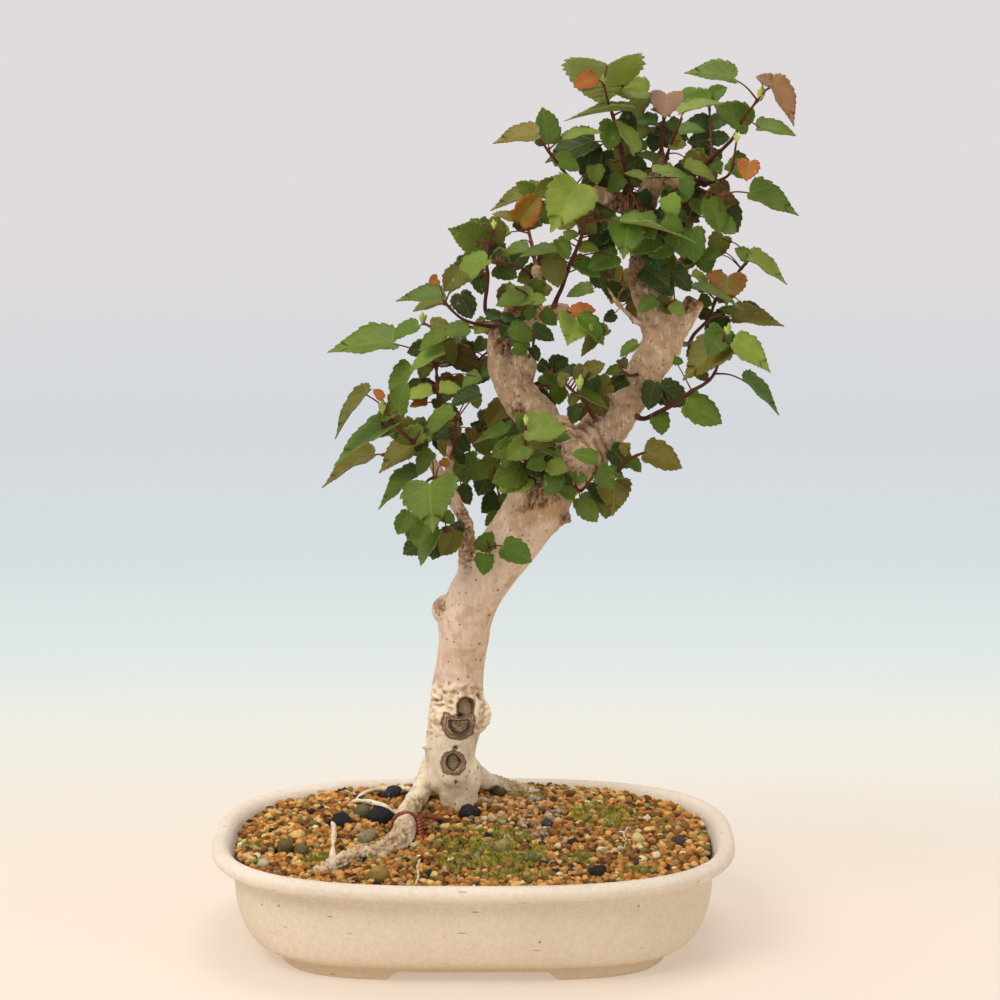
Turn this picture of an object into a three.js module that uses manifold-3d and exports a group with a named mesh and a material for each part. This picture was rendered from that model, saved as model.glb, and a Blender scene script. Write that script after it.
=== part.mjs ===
// Sea hibiscus bonsai in its pot. Millimetres, +Z up, the table at z = 0.
//
// The pot's middle is the working origin, X to the right, Y away from the front.
// Places on the tree are read in its elevation, the upright plane y = ELEVATION_Y,
// and spot() sets each one at its own depth on the line from EYE, so that the
// tree keeps its outline from the front whatever depth a limb has.

import * as THREE from 'three';
import { mergeVertices } from 'three/addons/utils/BufferGeometryUtils.js';
import Module from 'manifold-3d';

const wasm = await Module();
wasm.setup();

// Driving dimensions
const POT_RIM_HEIGHT = 62.4;
const POT_SIDES = 32;
const FOOT_HEIGHT = 5;
const FLOOR_TOP = 14;
const DRAIN_X = 58;
const DRAIN_RADIUS = 9;
const SOIL_EDGE_HEIGHT = 55;
const SOIL_MOUND = 9;
const SOIL_CELL = 20;
const WIRE_RADIUS = 1.1;
const SCREEN_SIZE = 24;
const SCREEN_THICKNESS = 1;
const SEAT_GAP = 0.3;
const BLADE_THICKNESS = 0.8;
const STALK_RADIUS = 0.8;
const STALK_INSIDE = 2.5;
const ELEVATION_Y = 20;
const EYE = new THREE.Vector3(15.2, -1500, 537.7);

const COLOURS = {
  pot: [0xe2ceb4, 0.75],
  soil: [0x966e3c, 0.95],
  bark: [0xc8ac91, 0.85],
  wire: [0x8c5041, 0.4],
  screen: [0x2b2b2b, 0.6],
  leaf: [0x5a8232, 0.6],
};

// Seeded draw, so that every build is the same
function drawer(seed) {
  let state = seed;
  return () => {
    state = (Math.imul(state, 1664525) + 1013904223) >>> 0;
    return state / 4294967296;
  };
}

// Solids
function solid(geometry) {
  const plain = geometry.clone();
  plain.deleteAttribute('normal');
  plain.deleteAttribute('uv');
  const merged = mergeVertices(plain, 1e-4);
  const mesh = new wasm.Mesh({
    numProp: 3,
    vertProperties: Float32Array.from(merged.attributes.position.array),
    triVerts: Uint32Array.from(merged.index.array),
  });
  return new wasm.Manifold(mesh);
}

function geometryOf(body) {
  const { vertProperties, triVerts } = body.getMesh();
  const geometry = new THREE.BufferGeometry();
  geometry.setAttribute('position', new THREE.BufferAttribute(vertProperties, 3));
  geometry.setIndex(new THREE.BufferAttribute(triVerts, 1));
  geometry.computeVertexNormals();
  return geometry;
}

function united(bodies) {
  return bodies.reduce((sum, body) => sum.add(body));
}

function isOpenSpace(body) {
  return body.isEmpty() || body.volume() < 1e-3;
}

// Places
function spot(x, z, depth) {
  const reach = (depth - EYE.y) / (ELEVATION_Y - EYE.y);
  return new THREE.Vector3(
    EYE.x + (x - EYE.x) * reach,
    depth,
    EYE.z + (z - EYE.z) * reach,
  );
}

// A point seen through (x, z) of the elevation, at a height above the table
function spotAtHeight(x, z, height) {
  const reach = (EYE.z - height) / (EYE.z - z);
  return spot(x, z, EYE.y + (ELEVATION_Y - EYE.y) * reach);
}

// A limb is a closed cylinder bent along a curve, with its own radius at each step.
// Stations are [point, radius]; the ends close to a blunt dome.
function limb(stations, sides, steps, grow = 0) {
  const curve = new THREE.CatmullRomCurve3(stations.map(([point]) => point), false, 'centripetal');
  const radii = stations.map(([, radius]) => radius);
  const frames = curve.computeFrenetFrames(steps, false);
  const geometry = new THREE.CylinderGeometry(1, 1, 1, sides, steps);
  const position = geometry.attributes.position;
  for (let i = 0; i < position.count; i += 1) {
    const along = 0.5 + position.getY(i);
    const step = Math.round(along * steps);
    const t = step / steps;
    const place = curve.getUtoTmapping(t) * (radii.length - 1);
    const before = Math.min(Math.floor(place), radii.length - 2);
    let radius = THREE.MathUtils.lerp(radii[before], radii[before + 1], place - before);
    if (steps > 4 && (step === 0 || step === steps)) radius *= 0.72;
    const p = curve.getPointAt(t);
    const spread = radius + grow;
    p.addScaledVector(frames.normals[step], position.getZ(i) * spread);
    p.addScaledVector(frames.binormals[step], position.getX(i) * spread);
    position.setXYZ(i, p.x, p.y, p.z);
  }
  const body = solid(geometry);
  return body.volume() > 0 ? body : solid(flipped(geometry));
}

function flipped(geometry) {
  const copy = geometry.clone();
  const index = copy.index;
  for (let i = 0; i < index.count; i += 3) {
    const first = index.getX(i);
    index.setX(i, index.getX(i + 1));
    index.setX(i + 1, first);
  }
  return copy;
}

// Limbs given in the elevation: [x, z, depth, radius]
function treeLimb(rows, sides, steps, grow = 0) {
  return limb(rows.map(([x, z, depth, radius]) => [spot(x, z, depth), radius]), sides, steps, grow);
}

function ball(centre, sizes, across = 8, down = 6) {
  const geometry = new THREE.SphereGeometry(1, across, down);
  geometry.scale(sizes[0], sizes[1], sizes[2]);
  geometry.translate(centre.x, centre.y, centre.z);
  return solid(geometry);
}

function box(low, high) {
  const geometry = new THREE.BoxGeometry(high[0] - low[0], high[1] - low[1], high[2] - low[2]);
  geometry.translate((high[0] + low[0]) / 2, (high[1] + low[1]) / 2, (high[2] + low[2]) / 2);
  return solid(geometry);
}

// Pot: rows of half-width, half-depth, height and squareness, from the middle of the
// underside round the foot ring, wall and rolled rim to the middle of the floor.
const POT_ROWS = [
  [0, 0, FOOT_HEIGHT, 4],
  [98, 68, FOOT_HEIGHT, 4],
  [98.5, 68.5, 0, 4],
  [111, 80, 0, 4],
  [112.5, 81, 8, 4],
  [121, 86, 9, 3.8],
  [129, 90.5, 14, 3.4],
  [134.5, 93.5, 23, 3.1],
  [137.5, 95.5, 36, 2.9],
  [137.5, 96, 50, 2.8],
  [144, 101.2, 52.6, 2.8],
  [149.3, 106, 55, 2.8],
  [150.5, 107.2, 58.4, 2.8],
  [148.8, 105.6, 61.6, 2.8],
  [145.5, 102.4, POT_RIM_HEIGHT, 2.8],
  [142.3, 99.2, 60.8, 2.8],
  [139, 96, 56, 2.8],
  [130, 88.5, 44, 2.9],
  [125, 83.5, 24, 3.1],
  [116, 75, FLOOR_TOP, 3.4],
  [0, 0, FLOOR_TOP, 3.4],
];

// A closed stack of rounded-rectangle rings: a lathe turned to each row's own plan
function ringStack(rows, sides) {
  const profile = rows.map(([a, , z]) => new THREE.Vector2(a, z));
  const lathe = new THREE.LatheGeometry(profile, sides);
  const position = lathe.attributes.position;
  for (let i = 0; i < position.count; i += 1) {
    const [a, b, z, square] = rows[i % rows.length];
    const turn = (Math.floor(i / rows.length) / sides) * Math.PI * 2;
    const cos = Math.cos(turn);
    const sin = Math.sin(turn);
    const x = Math.sign(cos) * Math.abs(cos) ** (2 / square) * a;
    const y = Math.sign(sin) * Math.abs(sin) ** (2 / square) * b;
    position.setXYZ(i, Math.abs(x) < 1e-6 ? 0 : x, Math.abs(y) < 1e-6 ? 0 : y, z);
  }
  const body = solid(lathe);
  return body.volume() > 0 ? body : solid(flipped(lathe));
}

// The notch between two feet, with slanted ends
function footNotch(halfWidth, reach) {
  const outline = new THREE.Shape();
  outline.moveTo(-halfWidth - 4, -1);
  outline.lineTo(halfWidth + 4, -1);
  outline.lineTo(halfWidth, FOOT_HEIGHT);
  outline.lineTo(-halfWidth, FOOT_HEIGHT);
  const geometry = new THREE.ExtrudeGeometry(outline, { depth: reach * 2, bevelEnabled: false });
  geometry.translate(0, 0, -reach);
  geometry.rotateX(Math.PI / 2);
  return geometry;
}

function makePot() {
  let pot = ringStack(POT_ROWS, POT_SIDES);
  const acrossNotch = footNotch(43, 120);
  const alongNotch = footNotch(28, 160);
  alongNotch.rotateZ(Math.PI / 2);
  pot = pot.subtract(solid(acrossNotch)).subtract(solid(alongNotch));
  for (const side of [-1, 1]) {
    const drain = new THREE.CylinderGeometry(DRAIN_RADIUS, DRAIN_RADIUS, 30, 10);
    drain.rotateX(Math.PI / 2);
    drain.translate(side * DRAIN_X, 0, FLOOR_TOP);
    pot = pot.subtract(solid(drain));
  }
  return pot;
}

// Drain screen: a square plate with four openings, lying on the pot's floor
function makeScreen(side) {
  const half = SCREEN_SIZE / 2;
  const low = FLOOR_TOP + SEAT_GAP;
  const plate = box(
    [side * DRAIN_X - half, -half, low],
    [side * DRAIN_X + half, half, low + SCREEN_THICKNESS],
  );
  return [[-4.5, -4.5], [4.5, -4.5], [4.5, 4.5], [-4.5, 4.5]].reduce((rest, [x, y]) => {
    const centre = side * DRAIN_X + x;
    return rest.subtract(box([centre - 3, y - 3, low - 1], [centre + 3, y + 3, low + SCREEN_THICKNESS + 1]));
  }, plate);
}

// Soil
function soilHeight(x, y) {
  const across = Math.exp(-((x / 95) ** 2));
  const along = Math.exp(-(((y - 50) / 60) ** 2));
  return SOIL_EDGE_HEIGHT + SOIL_MOUND * across * along;
}

const SOIL_ROWS = [
  [0, 0, FLOOR_TOP + SEAT_GAP, 3.4],
  [114, 73, FLOOR_TOP + SEAT_GAP, 3.4],
  [124, 82.5, 24.4, 3.1],
  [129.4, 87.9, 44.2, 2.9],
  [137.4, 94.4, 55, 2.8],
  [137.4, 94.4, 90, 2.8],
  [0, 0, 90, 2.8],
];

// The lumpy top: everything above it is cut away
function aboveSoil() {
  const across = 16;
  const along = 11;
  const geometry = new THREE.BoxGeometry(across * SOIL_CELL, along * SOIL_CELL, 60, across, along, 1);
  const position = geometry.attributes.position;
  const draw = drawer(41);
  const lumps = new Map();
  for (let i = 0; i < position.count; i += 1) {
    const x = position.getX(i);
    const y = position.getY(i);
    const key = `${Math.round(x)} ${Math.round(y)}`;
    if (!lumps.has(key)) lumps.set(key, draw() * 2.6 - 1.3);
    position.setZ(i, position.getZ(i) < 0 ? soilHeight(x, y) + lumps.get(key) : 120);
  }
  return solid(geometry);
}

function makeSoil(obstacles) {
  const soil = ringStack(SOIL_ROWS, POT_SIDES).subtract(aboveSoil());
  const pockets = [-1, 1].map((side) => {
    const half = SCREEN_SIZE / 2 + SEAT_GAP;
    return box(
      [side * DRAIN_X - half, -half, 0],
      [side * DRAIN_X + half, half, FLOOR_TOP + SEAT_GAP * 2 + SCREEN_THICKNESS],
    );
  });
  return [...pockets, ...obstacles].reduce((rest, body) => rest.subtract(body), soil);
}

// Trunk, roots and woody branches, grown as one piece.
// Rows are x and z in the elevation, depth, radius.
const TRUNK = [
  [-9.5, 46, 44, 6], [-9.7, 71, 43, 7.4], [-10, 80, 42, 10], [-12.5, 91, 41.5, 13.5], [-14, 100, 41, 15],
  [-13.5, 109, 40, 15.4], [-11.5, 119, 39, 16], [-10, 129, 38, 16], [-9.5, 141, 37, 15], [-8, 155, 35, 14],
  [-6, 170, 34, 14.6], [-4, 185, 32, 15.4], [1.5, 198, 30, 15.4], [9.5, 212, 28, 15.8], [21, 227, 27, 16.2],
  [32, 243, 26, 17], [42, 259, 25, 16.5], [50, 272, 25, 15],
];
const RIGHT_TRUNK = [
  [38, 254, 26, 13], [54, 272, 25, 15.5], [70, 288, 25, 14], [82, 305, 26, 12.5], [92, 318, 27, 11.2],
  [101, 332, 28, 10.8], [108, 345, 29, 11.5], [104, 360, 29, 11], [98, 383, 28, 10.5], [98, 400, 27, 9],
  [95, 415, 26, 7.2], [98, 427, 25, 6.4], [104, 436, 25, 6], [108, 446, 25, 4],
];
const LEFT_BRANCH = [
  [46, 268, 26, 13], [45, 287, 28, 12.5], [37, 300, 30, 12], [29, 310, 32, 11.5], [22, 321, 34, 10.5],
  [16, 332, 36, 8], [14.5, 345, 37, 6], [16, 361, 38, 5],
];
const SMALL_LIMBS = [
  // apex arm to the left
  [[96, 415, 26, 6], [88, 421, 23, 5.6], [78, 425, 20, 5], [67, 429, 18, 4]],
  // apex twig to the right
  [[103, 434, 25, 4], [114, 433, 24, 3.4], [127, 432, 22, 2.8]],
  // cut stub on the right trunk
  [[110, 345, 29, 8.5], [119, 356, 28, 6.2], [126, 368, 28, 5.4]],
  // arm of the left branch, to the right
  [[15, 343, 37, 5], [23, 347, 36, 5], [34, 354, 34, 4.8], [45, 361, 32, 4.6], [54, 361, 31, 5]],
  // cut stub of the left branch
  [[24, 316, 33, 8], [29, 327, 33, 7.4], [29.5, 337, 33, 6.8]],
  // upright twig on the arm
  [[35, 353, 34, 3.6], [36, 368, 36, 3], [36, 387, 38, 2.6]],
  // thin branch on the trunk's left
  [[-2, 190, 31, 9], [-4, 208, 28, 5.6], [-4, 225, 24, 4.6], [-5, 240, 20, 4.2], [-11, 252, 15, 4],
    [-17, 264, 11, 3.6], [-24, 275, 8, 3.2], [-29, 282, 6, 2.8]],
  [[-10, 250, 16, 3.4], [-14, 262, 20, 2.8], [-13, 284, 28, 2.4]],
  // cut stub in the main fork, and the broken stub on the right edge
  [[52, 284, 22, 7], [51, 292, 20, 6.4], [51, 301, 19, 5.6]],
  [[40, 238, 25, 8], [48, 243, 24, 6], [55, 245, 24, 4.6]],
  // dead twigs and the thorn-like spur
  [[101, 324, 20, 3], [96, 329, 14, 2], [91, 333, 10, 1.4]],
  [[-24, 106, 36, 3], [-31, 106, 34, 1.6]],
];

// Surface roots: x and z in the elevation and the height of the root's middle
const LEFT_ROOT = [
  [-15, 107, 96, 9], [-22, 98, 87, 8], [-27, 88, 77, 6.8], [-31.7, 78, 70.5, 5.6], [-37, 70, 67.5, 5.2],
  [-40.6, 64.6, 65.5, 5.2], [-40, 58, 64, 6.2], [-43, 50.6, 62, 6.2], [-49.5, 45, 60, 5.4],
  [-57.8, 42, 59, 4.6], [-66.6, 41.4, 58.5, 4.4], [-76, 37, 57.5, 4.2], [-85, 32, 56.5, 3.8],
  [-91.5, 29, 54.5, 3.2], [-96, 26, 49, 2.6],
];
const RIGHT_ROOT = [
  [-6, 98, 88, 8.5], [3.5, 90.8, 78, 6], [9.3, 87.8, 73.5, 4.6], [17, 85.3, 69.5, 4],
  [25.2, 82.9, 66.5, 3.6], [32.8, 80.5, 64, 3], [41, 77, 59, 2.4],
];
const THIN_ROOTS = [
  [[-79, 63, 55, 1.3], [-71.6, 72, 63, 1.5], [-64, 73, 65, 1.5], [-55, 70.7, 65, 1.5], [-48, 67, 64.5, 1.5],
    [-39, 64, 65, 1.6]],
  [[-71, 70, 57, 1.2], [-65.7, 76.8, 63, 1.3], [-58, 80, 64.5, 1.3], [-46.3, 81, 66, 1.4],
    [-31, 79, 71, 1.6]],
  [[-83, 62, 56, 1.1], [-82.4, 54, 64, 1.3], [-83, 46, 63, 1.3], [-84, 34, 57.5, 1.5]],
];

function rootLimb(rows, sides, steps, grow) {
  const stations = rows.map(([x, z, height, radius]) => [spotAtHeight(x, z, height), radius]);
  return limb(stations, sides, steps, grow);
}

// Swellings: x, z, depth and the three half-sizes
const SWELLINGS = [
  [-15, 188, 33, 9.5, 10, 9],
  [-2, 126, 33, 12.5, 11, 12],
  [-15, 126, 30, 10, 8, 11],
  [-12, 91, 31, 9, 7, 9.5],
  [22, 362, 38, 5, 5, 5],
  [55, 288, 16, 5, 6, 12],
];

// Wounds cut into the bark: x, z, depth and the three half-sizes
const WOUNDS = [
  [-6, 127, 21, 4.6, 6, 6.4],
  [-9, 113.5, 23, 6.5, 5, 3.8],
  [-13, 92, 23, 3.6, 5, 5.2],
];

function makeTrunk(grow = 0) {
  const bodies = [
    treeLimb(TRUNK, 10, 16, grow),
    treeLimb(RIGHT_TRUNK, 8, 14, grow),
    treeLimb(LEFT_BRANCH, 8, 8, grow),
    ...SMALL_LIMBS.map((rows) => treeLimb(rows, 5, rows.length - 1, grow)),
    rootLimb(LEFT_ROOT, 7, 14, grow),
    rootLimb(RIGHT_ROOT, 6, 5, grow),
    ...THIN_ROOTS.map((rows) => rootLimb(rows, 3, rows.length - 1, grow)),
    ...SWELLINGS.map(([x, z, depth, ...sizes]) => ball(spot(x, z, depth), sizes.map((a) => a + grow), 7, 4)),
  ];
  const wood = united(bodies);
  if (grow > 0) return wood;
  return WOUNDS.reduce(
    (rest, [x, z, depth, ...sizes]) => rest.subtract(ball(spot(x, z, depth), sizes, 6, 4)),
    wood,
  );
}

// Wire tie: over the left root, its two ends twisted together, and a tail into the soil
const WIRE_LOOP = [
  [-47.6, 3, 54], [-47, 2.8, 62.9], [-46.1, 2.5, 68], [-42.1, 2, 71.5], [-37.5, 1.5, 71.7], [-33.7, 1, 69.3],
  [-31.4, 0.4, 66.4],
];
const WIRE_TAIL = [
  [-34, 1.8, 69.2], [-30.5, 3.5, 69], [-25.5, 7.5, 67], [-19.8, 12, 64.5], [-15.5, 17, 61], [-13.8, 19, 55],
];
const TWIST_START = new THREE.Vector3(-31.8, 1, 68.6);
const TWIST_END = new THREE.Vector3(-30.2, -9.5, 59);
const TWIST_TURNS = 1.5;
const TWIST_STEPS = 12;

function makeWire() {
  const wireAlong = (points, sides, steps) => {
    return limb(points.map((p) => [new THREE.Vector3(...p), WIRE_RADIUS]), sides, steps);
  };
  return united([wireAlong(WIRE_LOOP, 5, 9), wireAlong(WIRE_TAIL, 5, 6), makeTwist()]);
}

// The twisted pair: a flattened section that turns along its way
function makeTwist() {
  const way = TWIST_END.clone().sub(TWIST_START);
  const geometry = new THREE.CylinderGeometry(1, 1, way.length(), 6, TWIST_STEPS);
  const position = geometry.attributes.position;
  for (let i = 0; i < position.count; i += 1) {
    const along = position.getY(i) / way.length() + 0.5;
    const section = new THREE.Vector2(position.getX(i) * WIRE_RADIUS * 2, position.getZ(i) * WIRE_RADIUS);
    section.rotateAround(new THREE.Vector2(), along * Math.PI * 2 * TWIST_TURNS);
    position.setXYZ(i, section.x, position.getY(i), section.y);
  }
  const upright = new THREE.Vector3(0, 1, 0);
  geometry.applyQuaternion(new THREE.Quaternion().setFromUnitVectors(upright, way.clone().normalize()));
  const middle = TWIST_START.clone().lerp(TWIST_END, 0.5);
  geometry.translate(middle.x, middle.y, middle.z);
  return solid(geometry);
}

// Leaf blade. Half outline from the notch at the stalk to the drawn-out tip:
// [along, across], in lengths and in half-widths. Teeth stand out at every other point.
const FULL_OUTLINE = [
  [-0.12, 0.46], [-0.02, 0.86], [0.12, 0.86], [0.24, 1.02], [0.38, 0.82], [0.54, 0.74], [0.7, 0.4],
  [0.87, 0.16],
];
const MIDDLE_OUTLINE = [[-0.11, 0.5], [0.08, 0.92], [0.34, 0.96], [0.6, 0.56], [0.82, 0.2]];
const SMALL_OUTLINE = [[-0.05, 0.62], [0.3, 1], [0.68, 0.44]];

function outlineFor(width) {
  if (width >= 19) return [FULL_OUTLINE, [0.35, 0.68]];
  if (width >= 11.5) return [MIDDLE_OUTLINE, [0.45]];
  return [SMALL_OUTLINE, [0.4]];
}

const FOLD = 0.3;
const DROOP = 0.16;
const SIGHT_TILT = 0.185;

// The leaf's own frame: axis from stalk to tip, normal out of the upper face.
// The tilt opens the blade to its seen width, from the sight line that looks a little down.
function leafFrame({ junction, tip, width, side, roll }) {
  const seen = junction.distanceTo(tip);
  const across = Math.max(width, 0.8 * seen);
  const length = Math.max(seen, 1.12 * width);
  const lean = Math.sqrt(Math.max(0, length * length - seen * seen));
  const open = Math.min(1, width / across);
  const tilt = Math.acos(open) + side * SIGHT_TILT;
  const sight = tip.clone().sub(EYE).normalize();
  const end = tip.clone().addScaledVector(sight, -side * lean);
  const axis = new THREE.Vector3();
  const normal = new THREE.Vector3();
  const settle = () => {
    axis.copy(end).sub(junction).normalize();
    normal.set(0, -side * Math.cos(tilt), Math.sin(tilt));
    normal.addScaledVector(axis, -normal.dot(axis)).normalize();
  };
  settle();
  end.addScaledVector(normal, DROOP * length);
  settle();
  normal.applyAxisAngle(axis, roll);
  const sideways = new THREE.Vector3().crossVectors(normal, axis);
  return { axis, normal, sideways, length, across };
}

// Faces between the rib and one margin, both listed from notch to tip
function halfFaces(points, rib, margin) {
  const faces = [];
  let i = 0;
  let j = 0;
  while (i < rib.length - 1 || j < margin.length - 1) {
    const nextRib = i < rib.length - 1 ? points[rib[i + 1]][0] : Infinity;
    const nextMargin = j < margin.length - 1 ? points[margin[j + 1]][0] : Infinity;
    const triangle = nextMargin <= nextRib
      ? [rib[i], margin[j], margin[j += 1]]
      : [rib[i], margin[j], rib[i += 1]];
    if (new Set(triangle).size === 3) faces.push(triangle);
  }
  return faces;
}

// A closed body from its corners and faces, whichever way round the faces are
function facetBody(corners, index) {
  const geometry = new THREE.BufferGeometry();
  const numbers = corners.flatMap((p) => p.toArray());
  geometry.setAttribute('position', new THREE.Float32BufferAttribute(numbers, 3));
  geometry.setIndex(index);
  const body = solid(geometry);
  return body.volume() > 0 ? body : solid(flipped(geometry));
}

// The blade is a thin plate, folded up from its rib and drooping towards its tip
function blade(leaf, grow) {
  const { axis, normal, sideways, length, across } = leafFrame(leaf);
  const [outline, ribs] = outlineFor(leaf.width);
  const place = ([u, v], lift) => {
    const along = (u - 0.4) * (1 + (grow * 2) / length) + 0.4;
    const fold = FOLD * Math.abs(v) * (across / 2) - DROOP * along * along * length;
    return leaf.junction.clone()
      .addScaledVector(axis, along * length)
      .addScaledVector(sideways, v * (across / 2 + grow))
      .addScaledVector(normal, fold + lift);
  };
  const rim = [[0, 0], ...outline, [1, 0], ...outline.slice().reverse().map(([u, v]) => [u, -v])];
  const points = [...rim, ...ribs.map((u) => [u, 0])];
  const tip = outline.length + 1;
  const rib = [0, ...ribs.map((_, i) => rim.length + i), tip];
  const right = [0, ...outline.map((_, i) => i + 1), tip];
  const left = [0, ...outline.map((_, i) => rim.length - 1 - i), tip];
  const faces = [
    ...halfFaces(points, rib, right),
    ...halfFaces(points, rib, left).map((face) => face.reverse()),
  ];
  const lift = BLADE_THICKNESS / 2 + grow;
  const corners = [...points.map((p) => place(p, lift)), ...points.map((p) => place(p, -lift))];
  const count = points.length;
  const index = faces.flatMap(([a, b, c]) => [a, b, c, count + c, count + b, count + a]);
  for (let i = 0; i < rim.length; i += 1) {
    const next = (i + 1) % rim.length;
    index.push(i, count + i, next, next, count + i, count + next);
  }
  return facetBody(corners, index);
}

// The stalk is a three-sided spike from the stem's middle into the blade's notch
function stalk(leaf, grow) {
  const { axis, normal, length } = leafFrame(leaf);
  const inside = Math.min(STALK_INSIDE, length / 4);
  const end = leaf.junction.clone().addScaledVector(axis, inside);
  const way = end.clone().sub(leaf.root).normalize();
  const reference = Math.abs(way.dot(normal)) > 0.9 ? axis : normal;
  const across = new THREE.Vector3().crossVectors(way, reference).normalize();
  const corners = [0, 1, 2].map((k) => {
    const corner = across.clone().applyAxisAngle(way, (k * Math.PI * 2) / 3);
    return leaf.root.clone().addScaledVector(corner, STALK_RADIUS + grow);
  });
  return facetBody([...corners, end], [0, 1, 2, 1, 0, 3, 2, 1, 3, 0, 2, 3]);
}

function leafPieces(leaf, grow = 0) {
  return [blade(leaf, grow), stalk(leaf, grow)];
}

// How far a leaf stands behind its stem, by its tone: sunlit leaves stand in front
const SET_BACK = { l: -6, g: -2, d: 9, o: 3, y: -4, r: -5, p: -3 };

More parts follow.
